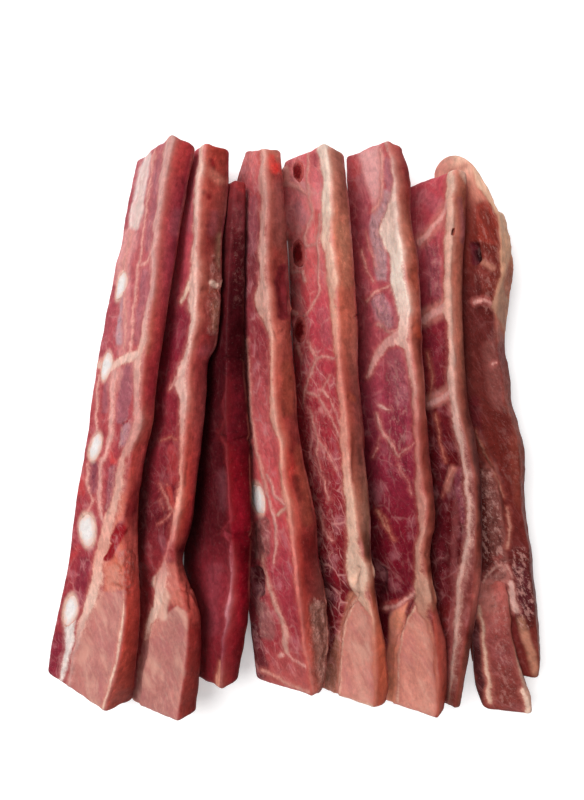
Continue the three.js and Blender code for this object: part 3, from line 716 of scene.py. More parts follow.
LOOKS["strip_7"] = {
    "foot_shade": 0.6,
    "web": 0.15,
    "tones": [
        (170, (216, 98, 108)), (230, (198, 90, 102)), (300, (168, 66, 80)), (340, (142, 46, 58)),
        (400, (128, 40, 48)), (450, (104, 24, 30)), (560, (90, 18, 24)), (620, (124, 42, 42)),
        (700, (120, 54, 48)),
    ],
    "skin": [
        (160, (222, 156, 128), (196, 130, 102)), (195, (188, 114, 90), (140, 80, 64)),
        (250, (180, 106, 86), (148, 90, 74)), (325, (214, 142, 114), (168, 114, 92)),
        (395, (138, 72, 58), (100, 50, 44)), (440, (86, 36, 30), (104, 56, 50)),
        (470, (116, 62, 54), (84, 38, 34)), (510, (88, 36, 30), (62, 20, 18)),
        (550, (122, 62, 50), (90, 38, 32)), (590, (190, 112, 98), (160, 90, 78)),
        (635, (90, 36, 28), (70, 24, 20)), (690, (140, 76, 60), (164, 110, 94)),
    ],
    "fat_tones": [
        (160, (238, 200, 180)), (200, (222, 172, 154)), (300, (228, 172, 154)),
        (425, (216, 168, 156)), (525, (216, 170, 158)), (600, (208, 158, 146)),
        (650, (204, 158, 146)), (700, (122, 78, 68)),
    ],
    "fat_line": [
        (160, 452, 456), (172, 448, 455), (185, 446, 454), (220, 446, 454), (240, 445, 454),
        (280, 444, 451), (300, 445, 453), (310, 441, 453), (320, 447, 453), (340, 449, 454),
        (380, 447, 455), (400, 450, 457), (420, 452, 459), (440, 457, 463), (460, 460, 465),
        (480, 465, 469), (520, 467, 471), (540, 466, 470), (560, 462, 467), (580, 458, 463),
        (600, 456, 461), (620, 454, 459), (640, 453, 458), (660, 452, 456), (706, 448, 451),
    ],
    "seams": [
        (3.5, 2.0, FAT_PINK, [(420, 242), (428, 234), (438, 222), (446, 208), (449, 198)]),
        (3.5, 3.5, FAT_PINK, [(424, 320), (434, 313), (446, 306)]),
        (3.0, 2.5, FAT_PINK, [(430, 404), (442, 398), (454, 390)]),
        (0.8, -0.3, (206, 140, 126), [(453, 468), (447, 484), (441, 496)]),
        (0.4, 0.0, PEACH, [(428, 352), (432, 376), (430, 400)]),
        (0.0, 0.3, PEACH, [(436, 415), (440, 440), (446, 462)]),
    ],
    "patches": [
        (ROSE, 0.5, 8, 6, [(424, 196), (436, 206)]),
        ((222, 150, 136), 0.5, 7, 8, [(422, 240), (436, 226), (447, 208)]),
        ((222, 152, 136), 0.6, 8, 8, [(422, 318), (436, 312), (447, 304)]),
        ((222, 152, 136), 0.6, 7, 8, [(428, 402), (442, 397), (453, 388)]),
        (MAUVE, 0.5, 7, 6, [(432, 252), (436, 292)]), (WINE, 0.5, 6, 5, [(432, 340), (436, 380)]),
        ((150, 70, 84), 0.7, 3, 3, [(458, 470), (462, 520)]),
        (DEEP, 0.5, 6, 6, [(440, 430), (442, 600)]),
        ((190, 122, 108), 0.7, 4, 5, [(453, 470), (447, 488)]),
        ((152, 78, 78), 0.5, 3, 5, [(456, 500), (453, 600), (449, 690)]),
    ],
    # painted shade inside the small hollow in the fat
    "holes": [((70, 22, 20), 0.9, 1.2, 1.5, [(453, 230), (453, 234)])],
    "skin_patches": [
        (CREAM, 0.5, 3, 3, [(462, 172), (468, 180)]),
        ((130, 70, 80), 0.6, 3, 3, [(460, 200), (462, 240)]),
        (BROWN, 0.35, 4, 7, [(464, 300), (464, 360)]),
        ((112, 62, 58), 0.5, 3, 6, [(470, 430), (474, 470)]),
    ],
    "dents": [(1.4, 1.2, [(453, 231), (453, 234)]), (0.5, 2, [(450, 398), (452, 410)])],
    "grit": [(0.5, 6, [(434, 240), (436, 300)]), (0.4, 3, [(460, 470), (464, 530)])],
}

LOOKS["strip_8"] = {
    "foot_shade": 0.75,
    "web": 0.05,
    "tones": [
        # the head's first tones are the lump's own cream, raised further by painted light where its
        # end faces away from the lamps
        (155, (250, 206, 184)), (172, (246, 196, 172)), (190, (216, 146, 124)),
        (210, (150, 78, 66)), (240, (126, 52, 42)), (300, (102, 42, 38)), (380, (110, 50, 44)),
        (450, (114, 46, 38)), (520, (114, 48, 42)), (600, (110, 48, 46)), (660, (130, 62, 48)),
    ],
    "skin": [
        (155, (240, 186, 160), (220, 156, 130)), (225, (252, 194, 162), (252, 206, 178)),
        (270, (108, 52, 40), (180, 128, 102)), (310, (204, 138, 116), (248, 198, 168)),
        (350, (134, 66, 60), (136, 74, 66)), (430, (150, 82, 66), (160, 106, 90)),
        (470, (132, 64, 46), (126, 66, 48)), (510, (142, 70, 56), (136, 72, 58)),
        (550, (122, 60, 54), (166, 122, 114)), (590, (112, 58, 52), (112, 64, 60)),
        (630, (134, 78, 64), (130, 80, 66)), (680, (148, 106, 92), (140, 90, 74)),
    ],
    "fat_tones": [
        (150, (232, 190, 166)), (200, (222, 176, 150)), (250, (216, 160, 130)),
        (320, (176, 126, 106)), (500, (150, 90, 74)), (680, (180, 124, 108)),
    ],
    "fat_line": [
        (150, 470, 470), (185, 476, 486), (200, 488, 497), (215, 498, 508), (240, 500, 514),
        (262, 500, 510), (276, 501, 505), (295, 496, 506), (305, 492, 512), (315, 496, 511),
        (325, 501, 509), (340, 505, 505), (680, 540, 540),
    ],
    "seams": [
        (2.0, 1.0, FAT_PINK, [(474, 302), (484, 300), (493, 304)]),
        (1.0, 0.7, FAT_PINK, [(492, 365), (500, 361)]),
        (0.6, 1.4, (176, 112, 96), [(476, 430), (483, 450), (490, 466)]),
        (1.0, 0.4, (184, 122, 106), [(494, 474), (499, 484), (504, 496)]),
        (0.8, 1.6, (190, 130, 114), [(507, 508), (510, 526), (508, 546)]),
        (2.6, 3.2, (208, 160, 150), [(510, 584), (512, 600), (515, 610)]),
        (1.6, 0.6, (206, 150, 140), [(481, 588), (488, 575), (497, 566), (506, 566), (512, 578)]),
    ],
    "areas": [
        ((158, 58, 46), 0.85, 4, 0, [(476, 206), (492, 200), (500, 226), (496, 246), (478, 240)]),
        ((104, 30, 30), 0.7, 4, 0, [(512, 612), (522, 640), (530, 676), (516, 676), (508, 640)]),
    ],
    "patches": [
        ((232, 184, 160), 0.85, 16, 10, [(458, 156), (478, 158), (484, 172)]),
        ((206, 130, 118), 0.6, 6, 8, [(436, 172), (448, 162)]),
        ((188, 112, 98), 0.6, 3, 6, [(450, 172), (466, 166)]),
        ((176, 108, 100), 0.9, 7, 3, [(492, 584), (503, 577)]),
        (BRIGHT, 0.7, 2.5, 3, [(495, 559), (501, 556)]),
        (PEACH, 0.6, 6, 6, [(470, 180), (480, 196)]),
        ((130, 52, 44), 0.7, 9, 5, [(486, 262), (490, 292)]),
        # painted shade in the hollow at the face's upper left
        (DEEP, 0.98, 4.5, 2.5, [(473, 246), (476, 260)]),
        ((150, 84, 78), 0.5, 10, 8, [(492, 350), (500, 400)]),
        # painted shade down the face's left side, beside strip 7
        (DEEP, 0.6, 5, 5, [(474, 400), (478, 440)]),
        ((156, 92, 84), 0.6, 8, 5, [(490, 470), (500, 560)]),
        ((150, 70, 56), 0.4, 8, 6, [(516, 440), (522, 500)]),
        ((92, 34, 42), 0.6, 8, 5, [(520, 570), (526, 612)]),
        ((190, 128, 104), 0.8, 4, 5, [(520, 620), (530, 650), (536, 672)]),
        ((120, 44, 36), 0.7, 5, 4, [(484, 214), (494, 236)]),
        ((200, 134, 112), 0.6, 3, 4, [(484, 262), (492, 268)]),
    ],
    "skin_patches": [
        ((216, 164, 138), 0.6, 7, 7, [(474, 180), (488, 198)]),
        ((226, 178, 148), 0.8, 7, 5, [(508, 212), (514, 246)]),
        ((216, 166, 138), 0.75, 6, 5, [(516, 296), (512, 320)]),
    ],
    # painted shade inside the hollow
    "holes": [((44, 12, 16), 0.95, 3.6, 3.0, [(475, 250), (477, 257)])],
    "dents": [
        (4.5, 4.5, [(474, 247), (477, 259)]), (0.8, 2.0, [(476, 292), (492, 298)]),
        (1.4, 4, [(482, 452), (494, 478), (500, 520)]),
        (-0.9, 3, [(478, 432), (486, 454), (500, 482), (508, 510)]),
        (0.8, 3, [(512, 610), (520, 650)]),
    ],
    "grit": [
        (1.0, 11, [(484, 480), (496, 570)]), (0.9, 9, [(520, 556), (526, 620)]),
        (0.35, 14, [(488, 214), (488, 300)]), (0.15, 14, [(500, 340), (516, 470)]),
        (0.7, 8, [(496, 208), (507, 230), (508, 300)]),
    ],
}

LOOKS["strip_8_tongue"] = {
    "web": 0.1,
    "tones": [
        (560, (180, 100, 84)), (590, (204, 122, 110)), (645, (146, 74, 68)), (710, (140, 72, 62)),
    ],
    "skin": [
        (560, (160, 84, 66), (140, 70, 54)), (620, (176, 104, 88), (100, 42, 40)),
        (700, (180, 112, 94), (120, 56, 46)),
    ],
    "fat_tones": [(560, (134, 86, 78)), (640, (160, 114, 102)), (710, (206, 158, 140))],
    "fat_line": [
        (560, 500, 500), (590, 508, 511), (640, 513, 516), (680, 521, 525), (712, 528, 534),
    ],
    "seams": [
        (1.2, 2.4, (214, 168, 148), [(479, 606), (482, 622), (485, 648), (487, 674), (490, 700)]),
        (2.0, 5.0, CREAM, [(522, 690), (528, 700), (530, 712)]),
    ],
    "patches": [
        ((190, 104, 84), 0.8, 5, 5, [(500, 566), (502, 576)]),
        ((176, 110, 100), 0.6, 8, 6, [(484, 590), (490, 606)]),
        # painted shade along the tongue's left side, which faces down and away from the light
        ((70, 26, 28), 0.9, 5, 3, [(474, 624), (477, 660), (480, 696)]),
    ],
    "dents": [(-0.8, 8, [(500, 572), (502, 584)])],
    "grit": [(0.4, 8, [(498, 600), (508, 700)])],
}

# ---- curves and fixed noise ---------------------------------------------------------------

CELL_FACTORS = (73856093, 19349663, 83492791)  # large primes, one for each axis
SEED_FACTOR, SEED_SHIFT, SCRAMBLE = 362437, 1013904223, 73244475
WORD, HALF_WORD = 0xFFFFFFFF, 0xFFFF  # the numbers are mixed in 32 bits, and 16 are kept
OCTAVE_SHIFT = 31.7  # cells between the pattern of one octave and that of the next
NOISE_GAIN = 1.6  # brings the octaves' mean to about -1 to 1


def mix(a, b, t):
    return a + (b - a) * t


def smooth(t):
    """A soft step from 0 at 0 to 1 at 1."""
    t = np.clip(t, 0, 1)
    return t * t * (3 - 2 * t)


def follow(points, y):
    """Smooth curve through (y, value) points that run from the largest y to the smallest."""
    at, value = np.array(points, float).T
    last = len(at) - 1
    order = np.arange(last + 1)
    before, after = np.maximum(order - 1, 0), np.minimum(order + 1, last)
    tangent = (value[after] - value[before]) / (at[after] - at[before])
    y = np.clip(y, at[-1], at[0])
    i = np.clip(np.searchsorted(-at, -y, side="right") - 1, 0, last - 1)
    span = at[i + 1] - at[i]
    t = (y - at[i]) / span
    rise = t * t * (3 - 2 * t)
    return (
        (1 - rise) * value[i] + t * (1 - t) ** 2 * span * tangent[i]
        + rise * value[i + 1] - t * t * (1 - t) * span * tangent[i + 1]
    )


def through(values, u):
    """Quadratic through the values at the head (0), the middle (0.5) and the foot (1)."""
    a, b, c = values
    return a * (1 - u) * (1 - 2 * u) + 4 * b * u * (1 - u) + c * u * (2 * u - 1)


def lattice(cell, seed):
    """A fixed value from -1 to 1 for every whole-numbered cell."""
    x, y, z = (cell[..., axis] * factor for axis, factor in enumerate(CELL_FACTORS))
    n = (((x ^ y ^ z) & WORD) + seed * SEED_FACTOR + SEED_SHIFT) & WORD
    for shift in (15, 13):
        n = ((n ^ (n >> shift)) * SCRAMBLE) & WORD
    return ((n ^ (n >> 16)) & HALF_WORD) / (HALF_WORD / 2) - 1


def noise(points, wavelength, seed, octaves=2):
    """Smooth noise from about -1 to 1, each octave at half the wavelength and strength."""
    total, strength, reach = 0.0, 1.0, 0.0
    for octave in range(octaves):
        p = points / wavelength + OCTAVE_SHIFT * octave
        cell = np.floor(p).astype(np.int64)
        f = smooth(p - cell)
        value = 0.0
        for corner in np.ndindex(2, 2, 2):
            weight = np.prod(np.where(np.array(corner), f, 1 - f), axis=-1)
            value = value + weight * lattice(cell + np.array(corner), seed + octave)
        total = total + strength * value
        reach += strength
        strength /= 2
        wavelength /= 2
    return NOISE_GAIN * total / reach


# ---- closed tubes, the form of every piece -------------------------------------------------


def tube_faces(rings, around, turned=False):
    """Faces of a tube of rings whose two end centres are numbered after all of its rings."""
    i, j = np.meshgrid(np.arange(rings - 1), np.arange(around), indexing="ij")
    k = (j + 1) % around
    here, there = i * around, (i + 1) * around
    faces = np.stack([here + j, here + k, there + k, there + j]).reshape(4, -1).T.tolist()
    head, foot, last = rings * around, rings * around + 1, (rings - 1) * around
    for j in range(around):
        k = (j + 1) % around
        faces += [[head, k, j], [foot, last + j, last + k]]
    return [[face[0], *face[:0:-1]] for face in faces] if turned else faces


def with_centres(grid):
    """The rings' values in one list, with the means of the first and last ring at its end."""
    centres = [grid[0].mean(0, keepdims=True), grid[-1].mean(0, keepdims=True)]
    return np.concatenate([grid.reshape(-1, *grid.shape[2:]), *centres])


# ---- one bar of meat ----------------------------------------------------------------------

ROW_STEP = 0.75  # millimetres between rows along a bar
COLUMNS = {
    "ridge": 6, "face": 62, "lower_edge": 5, "lower": 8, "bottom": 5, "back": 22,
    "outer_edge": 5, "narrow": 15,
}
SIDES = ("face", "lower", "back", "narrow")  # the side that follows each corner
END_STEPS = 7
CAP_RINGS = 12
CAP_START = 0.94  # size of a cap's outermost ring, as a share of the cut end
CAP_PAINT = 0.25  # share of the way to a cap's centre that the narrow side's paint reaches
CAP_FRONT = 6  # from one part in six of that way, a cap is painted like the face in front of it
RIDGE_TURN = 1.4  # how early in the ridge's round the narrow side's paint ends; 1 is at its end


def section_at(bar, u):
    """The bar's frame and sizes at u, from 0 at the head to 1 at the foot."""
    ridge_y = mix(bar["head"][0], bar["foot"][0], u)
    lower_y = mix(bar["head"][1], bar["foot"][1], u)
    lean = np.radians(through(bar["lean"], u))
    lower = through(bar["lower"], u)
    x = follow(bar["ridge"], ridge_y)
    width = (x - follow(bar["base"], lower_y)) / np.cos(lean)
    upper = (follow(bar["edge"], ridge_y) - x) / np.sin(lean)
    z = lower * np.cos(lean) - FLATTENED + width * np.sin(lean)
    near_head = np.maximum(1 - u / BOW_SHARE, 0) ** 2
    near_foot = np.maximum(1 - (1 - u) / BOW_SHARE, 0) ** 2
    bow = bar.get("head_bow", 0) * near_head
    head_short, foot_short = bar.get("outer_short", (0, 0))
    short = head_short * near_head - foot_short * near_foot
    return {
        "ridge_y": ridge_y, "lower_y": lower_y, "bow": bow, "short": short, "lean": lean,
        "width": width, "lower": lower, "upper": upper, "x": x, "z": z,
    }


def place(section, across, deep):
    """A bar's point: `across` from the ridge along the broad face, `deep` behind that face."""
    lean, width = section["lean"], section["width"]
    aside = deep * np.sin(lean) - across * np.cos(lean)
    share = np.clip(-aside / (width * np.cos(lean)), 0, 1)
    outward = np.clip(aside / (section["upper"] * np.sin(lean)), 0, 1)
    x = section["x"] + aside
    y = mix(section["ridge_y"], section["lower_y"], share)
    y = y + section["bow"] * 4 * share * (1 - share) - section["short"] * outward
    z = section["z"] - across * np.sin(lean) - deep * np.cos(lean)
    return np.stack(np.broadcast_arrays(x, y, np.maximum(z, 0)), -1)


def sunken(bar, section, across):
    """How far the broad face lies behind its plane: slow waves, and the step at a flap."""
    y = section["ridge_y"]
    wave = 0.5 + 0.5 * np.sin(2 * np.pi * y / WAVE_LENGTH + across / WAVE_SLANT + section["x"])
    margins = smooth(across / WAVE_MARGIN), smooth((section["width"] - across) / WAVE_MARGIN)
    depth = FACE_WAVE * wave * margins[0] * margins[1]
    if "flap" in bar:
        grown = smooth((bar["flap"]["edge"][0][0] - y) / STEP_RUN)
        beyond = (across - follow(bar["flap"]["edge"], y)) / STEP_WIDTH + 0.5
        depth = depth + bar["flap"]["step"] * grown * smooth(beyond)
    return depth


def outline(bar, section):
    """The section's outline as across and deep, with the side that each column lies on."""
    width, lower, upper = (section[key][:, 0] for key in ("width", "lower", "upper"))
    zero = np.zeros_like(width)
    corners = {
        "ridge": np.stack([zero, zero], -1), "lower_edge": np.stack([width, zero], -1),
        "bottom": np.stack([width, lower], -1), "outer_edge": np.stack([zero, upper], -1),
    }
    radii = {
        "ridge": np.minimum(CORNERS["ridge"], upper / 3),
        "lower_edge": CORNERS["lower_edge"] + zero,
        "bottom": CORNERS["bottom"] + zero,
        "outer_edge": np.minimum(CORNERS["outer_edge"], upper / 3),
    }
    names = list(corners)
    points, marks, shares = [], [], []

    def toward(name, target):
        way = corners[target] - corners[name]
        return corners[name] + way / np.linalg.norm(way, axis=-1)[:, None] * radii[name][:, None]

    for i, name in enumerate(names):
        previous, following = names[i - 1], names[(i + 1) % 4]
        start, end = toward(name, previous), toward(name, following)
        for t in np.linspace(0, 1, COLUMNS[name]):
            points.append((1 - t) ** 2 * start + 2 * t * (1 - t) * corners[name] + t * t * end)
            marks.append(name)
            shares.append(t)
        far = toward(following, name)
        for t in np.linspace(0, 1, COLUMNS[SIDES[i]] + 2)[1:-1]:
            points.append(mix(end, far, t))
            marks.append(SIDES[i])
            shares.append(t)
    across, deep = np.moveaxis(np.stack(points, 1), -1, 0)
    share = np.maximum(1 - deep / np.maximum(lower, upper)[:, None], 0)
    return across, deep + sunken(bar, section, across) * share, np.array(marks), np.array(shares)


def rows(bar):
    """u, inset and shrinking of every ring: the head cap, the length of the bar, the foot cap."""
    length = bar["head"][0] - bar["foot"][0]
    angle = np.radians(np.linspace(0, 90, END_STEPS))
    u = END_ROUNDING * (1 - np.cos(angle)) / length
    inset = END_ROUNDING * (1 - np.sin(angle))
    start = END_ROUNDING / length
    plain = np.linspace(start, 1 - start, int(length / ROW_STEP))[1:-1]
    cap = np.linspace(CAP_START, 0.0, CAP_RINGS + 1)[:-1]
    none = np.zeros(CAP_RINGS)
    return (
        np.concatenate([none, u, plain, 1 - u[::-1], none + 1])[:, None],
        np.concatenate([none + inset[0], inset, 0 * plain, inset[::-1], none + inset[0]])[:, None],
        np.concatenate([cap, 0 * u, 0 * plain, 0 * u, cap[::-1]])[:, None],
    )


def loft(bar):
    """Points, faces and the painting coordinates of one bar."""
    u, inset, shrink = rows(bar)
    section = section_at(bar, u)
    across, deep, marks, shares = outline(bar, section)
    middle = section["width"] / 2, (section["lower"] + section["upper"]) / 4
    by = [inset / half + (1 - inset / half) * shrink for half in middle]
    across, deep = mix(across, middle[0], by[0]), mix(deep, middle[1], by[1])
    grid = place(section, across, deep)
    front = place(section, across, 0 * deep)

    narrow = np.where(marks == "narrow", 1.0, 0.0)
    narrow = np.where(marks == "ridge", np.clip(1 - RIDGE_TURN * shares, 0, 1), narrow)
    narrow = np.where(marks == "outer_edge", shares, narrow)
    narrow = narrow[None, :] * np.clip(1 - shrink / CAP_PAINT, 0, 1)
    hidden = np.isin(marks, ["back", "lower", "bottom"]).astype(float)
    hidden = np.where(marks == "outer_edge", 1 - shares, hidden)
    hidden = np.where(marks == "lower_edge", shares, hidden)
    inside = np.maximum(hidden[None, :], smooth(CAP_FRONT * shrink))
    seen = pixels(mix(grid, front, inside[..., None]))
    length = bar["head"][0] - bar["foot"][0]
    grids = {
        "points": grid, "pixel": seen,
        "local": np.stack([across, length * (1 - u) + 0 * across, deep], -1),
        "narrow": narrow + 0 * across, "hidden": hidden + 0 * across,
        "skin_share": np.clip(deep / section["upper"], 0, 1),
    }
    form = {name: with_centres(values) for name, values in grids.items()}
    return form, tube_faces(*across.shape)


# ---- painting in the photograph's pixels --------------------------------------------------


def linear(colour):
    """Linear light of an sRGB colour from 0 to 255."""
    c = np.array(colour, float) / 255
    return np.where(c <= 0.04045, c / 12.92, ((c + 0.055) / 1.055) ** 2.4)


def stroke_distance(pixel, points, width=None):
    """Distance to a stroke; with widths at its ends, how far inside it a pixel lies."""
    points = np.array(points, float)
    if len(points) == 1:
        points = np.concatenate([points, points + 0.01])
    steps = np.linalg.norm(np.diff(points, axis=0), axis=1)
    along = np.concatenate([[0], np.cumsum(steps)]) / steps.sum()
    best = np.full(len(pixel), np.inf if width is None else -np.inf)
    for a, b, start, end in zip(points[:-1], points[1:], along[:-1], along[1:]):
        way = b - a
        t = np.clip((pixel - a) @ way / (way @ way), 0, 1)
        distance = np.linalg.norm(pixel - a - t[:, None] * way, axis=1)
        if width is None:
            best = np.minimum(best, distance)
        else:
            best = np.maximum(best, mix(*width, mix(start, end, t)) - distance)
    return best


def stroke_cover(pixel, points, radius, soft):
    """1 within the radius of a stroke and 0 beyond it, with a soft edge."""
    return smooth((radius - stroke_distance(pixel, points)) / soft + 0.5)


def area_depth(pixel, points):
    """How far inside a closed outline a pixel lies, negative outside."""
    points = np.array(points, float)
    distance = stroke_distance(pixel, np.concatenate([points, points[:1]]))
    inside = np.zeros(len(pixel), bool)
    x, y = pixel.T
    for (ax, ay), (bx, by) in zip(points, np.roll(points, -1, 0)):
        if ay != by:
            inside ^= ((ay > y) != (by > y)) & (x < (bx - ax) * (y - ay) / (by - ay) + ax)
    return np.where(inside, distance, -distance)


def over(base, colour, weight):
    return mix(base, linear(colour), weight[:, None])


def patched(base, patches, pixel, share=1.0):
    """The base colours with soft patches painted over them."""
    for colour, strength, radius, soft, at in patches:
        base = over(base, colour, stroke_cover(pixel, at, radius, soft) * strength * share)
    return base


def along_colours(rows_of, y):
    """Colours between the named ones at each y."""
    at = [row[0] for row in rows_of]
    return [
        np.stack([np.interp(y, at, [linear(row[k])[c] for row in rows_of]) for c in range(3)], -1)
        for k in range(1, len(rows_of[0]))
    ]


WANDER_LENGTH = 6  # millimetres from one wander of the painted lines to the next
WANDER, HIDDEN_WANDER = 1.3, 4  # pixels that they wander by, and more on what doesn't show
LEAN_DEPTH = np.array((0.82, 0.62, 0.65))  # how much darker and redder lean is than fat
RIDGE_PAINTED_LIGHT, RIM_PAINTED_SHADE = 1.25, 0.75  # painted light near the ridge and painted shade near the outer edge, as factors on a narrow side's colours
RIM_START, RIM_RISE = 0.1, 1.2  # where the far colour begins, and how fast it comes in
RIM_AT, RIM_WIDTH, RIM_PALE = 0.93, 0.07, 0.55  # the pale line beside the outer edge
RIM_BREAKS, BREAK_LENGTH = 1.2, 9  # how clearly that line is broken, and how often
SHADE_HEIGHT = 24.0  # millimetres above the table below which a strip grows darker
FADE_ACROSS_RIDGE = 0.3  # the fat fades this much more slowly on the outer side
NO_FAT = -9.0  # pixels from the nearest fat, where there is none
THINNEST_FAT = 0.3  # a fat line narrower than this many pixels isn't there
SEAM_SOFT = 1.5  # pixels over which a seam's colour passes into the fat beside it
SEAM_SHORT = 12.0  # pixels by which the seams stay clear of the narrow side
GRIT_SOFT = 4.0  # pixels over which a grainy stretch begins
DENT_SPREAD = 1.6  # how far a dent's slope reaches, in its radii
RIB_BED = 0.8  # how far the meat lies below a rib section that fills it
RIB_EDGE, RIB_EDGE_SOFT = 1.04, 0.12  # where that bed ends, in the section's radii
RIB_CLEAR = 1.15  # radii within which there is no fat
RING_REACH, RING_SOFT, RING_STRENGTH = 1.5, 0.5, 0.75  # the coloured ring round a section
RIB_HIDDEN = 9  # radii that are added on the sides that don't show, to keep these marks off them
HIDDEN_RELIEF = 0.25  # share of the relief on what doesn't show

# the relief's noises: millimetres high, wavelength in millimetres
SWELLS, BUMPS, GRAIN, CRUMBS = (0.45, 11), (0.14, 4.5), (0.05, 1.9), (0.45, 5)
SKIN_BUMPS, GRIT_GRAIN = 0.12, 0.25  # added on the narrow side and on grainy stretches
FAT_STANDS, FAT_SLOPE, FAT_FOOT = 0.22, 3.0, 0.4  # fat stands proud, with a slope in pixels


def face_paint(look, pixel, face):
    """Colour of the broad face, and how streaky it is."""
    lean = LEAN_DEPTH * along_colours(look["tones"], pixel[:, 1])[0]
    streak = np.zeros(len(pixel))
    for colour, strength, soft, streaks, edge in look.get("areas", []):
        cover = smooth(area_depth(pixel, edge) / soft + 0.5) * face
        lean = over(lean, colour, cover * strength)
        streak = mix(streak, streaks, cover)
    return patched(lean, look["patches"], pixel, face), streak


def skin_paint(look, form, pixel, seed):
    """Colour of the narrow side, from the ridge to the outer edge."""
    share = form["skin_share"]
    near, far = along_colours(look["skin"], pixel[:, 1])
    toward_rim = np.clip(RIM_RISE * share - RIM_START, 0, 1)[:, None]
    # painted light towards the ridge, painted shade towards the outer edge
    skin = LEAN_DEPTH * mix(RIDGE_PAINTED_LIGHT * near, RIM_PAINTED_SHADE * far, toward_rim)
    skin = patched(skin, look.get("skin_patches", []), pixel)
    pale_rim = smooth(1 - np.abs(share - RIM_AT) / RIM_WIDTH) * form["narrow"]
    pale_rim *= smooth(0.5 + RIM_BREAKS * noise(form["points"], BREAK_LENGTH, seed + 11))
    return over(skin, PEACH, RIM_PALE * pale_rim)


def fat_paint(look, pixel, narrow):
    """How many pixels deep in the fat each point lies, negative outside, and the fat's colour."""
    y = pixel[:, 1]
    at, left, right = np.array(look["fat_line"], float).T
    left, right = np.interp(y, at, left), np.interp(y, at, right)
    aside = pixel[:, 0] - (left + right) / 2
    fat = (right - left) / 2 - np.abs(aside)
    fat = np.where((fat < 0) & (aside > 0), FADE_ACROSS_RIDGE * fat, fat)
    fat = np.where(right - left < THINNEST_FAT, NO_FAT, fat)
    tint = along_colours(look["fat_tones"], y)[0]
    for start, end, colour, at in look["seams"]:
        reach = stroke_distance(pixel, at, (start, end)) - SEAM_SHORT * narrow
        tint = over(tint, colour, smooth((reach - fat) / SEAM_SOFT + 0.5))
        fat = np.maximum(fat, reach)
    for _, _, radius, soft, at in look.get("holes", []):
        fat = mix(fat, NO_FAT, stroke_cover(pixel, at, radius, soft))
    return fat, tint


def paint(look, bar, form, seed):
    """The attributes that the meat's material reads, and the relief in millimetres."""
    points, narrow, hidden = form["points"], form["narrow"], form["hidden"]
    wander = np.stack([noise(points, WANDER_LENGTH, seed + k) for k in (0, 1)], -1)
    pixel = form["pixel"] + WANDER * wander + HIDDEN_WANDER * hidden[:, None] * wander
    lean, streak = face_paint(look, pixel, 1 - narrow)
    base = mix(lean, skin_paint(look, form, pixel, seed), narrow[:, None])
    base *= mix(look.get("foot_shade", 1), 1, smooth(points[:, 2:] / SHADE_HEIGHT))
    base = patched(base, look.get("holes", []), pixel)
    fat, tint = fat_paint(look, pixel, narrow)

    grit, relief = np.zeros(len(points)), np.zeros(len(points))
    for depth, radius, at in look["dents"]:
        relief -= depth * smooth(1 - stroke_distance(pixel, at) / (DENT_SPREAD * radius))
    for strength, radius, at in look["grit"]:
        grit = np.maximum(grit, strength * stroke_cover(pixel, at, radius, GRIT_SOFT))
    for y0, across0, along_size, across_size in bar.get("ribs", []):
        across, level = form["local"][:, 0] - across0, points[:, 1] - y0
        radius = np.hypot(across / across_size * 2, level / along_size * 2) + RIB_HIDDEN * hidden
        relief -= RIB_BED * smooth((RIB_EDGE - radius) / RIB_EDGE_SOFT)
        fat = np.where(radius < RIB_CLEAR, NO_FAT, fat)
        ring = RING_STRENGTH * smooth((RING_REACH - radius) / RING_SOFT)
        base = over(base, look.get("rib_ring", CREAM), ring)

    shown = 1 - (1 - HIDDEN_RELIEF) * hidden
    crumbs = 1 - 2 * np.abs(noise(points, CRUMBS[1], seed + 9))
    relief += shown * (
        SWELLS[0] * noise(points, SWELLS[1], seed + 3)
        + (BUMPS[0] + SKIN_BUMPS * narrow) * noise(points, BUMPS[1], seed + 5)
        + (GRAIN[0] + GRIT_GRAIN * grit) * noise(points, GRAIN[1], seed + 7)
        + CRUMBS[0] * grit * crumbs
    )
    relief += FAT_STANDS * smooth(fat / FAT_SLOPE + FAT_FOOT) * shown
    web = look["web"] * (1 - narrow) * (1 - np.clip(streak, 0, 1))
    return {
        "lean": base, "fat_tint": tint, "fat": fat, "web": web, "grit": grit, "streak": streak,
        "skin": narrow * shown, "local": form["local"],
    }, relief


# ---- materials ----------------------------------------------------------------------------


def rgba(colour):
    return (*linear(colour), 1.0)


BUMP_STRENGTH = 0.8


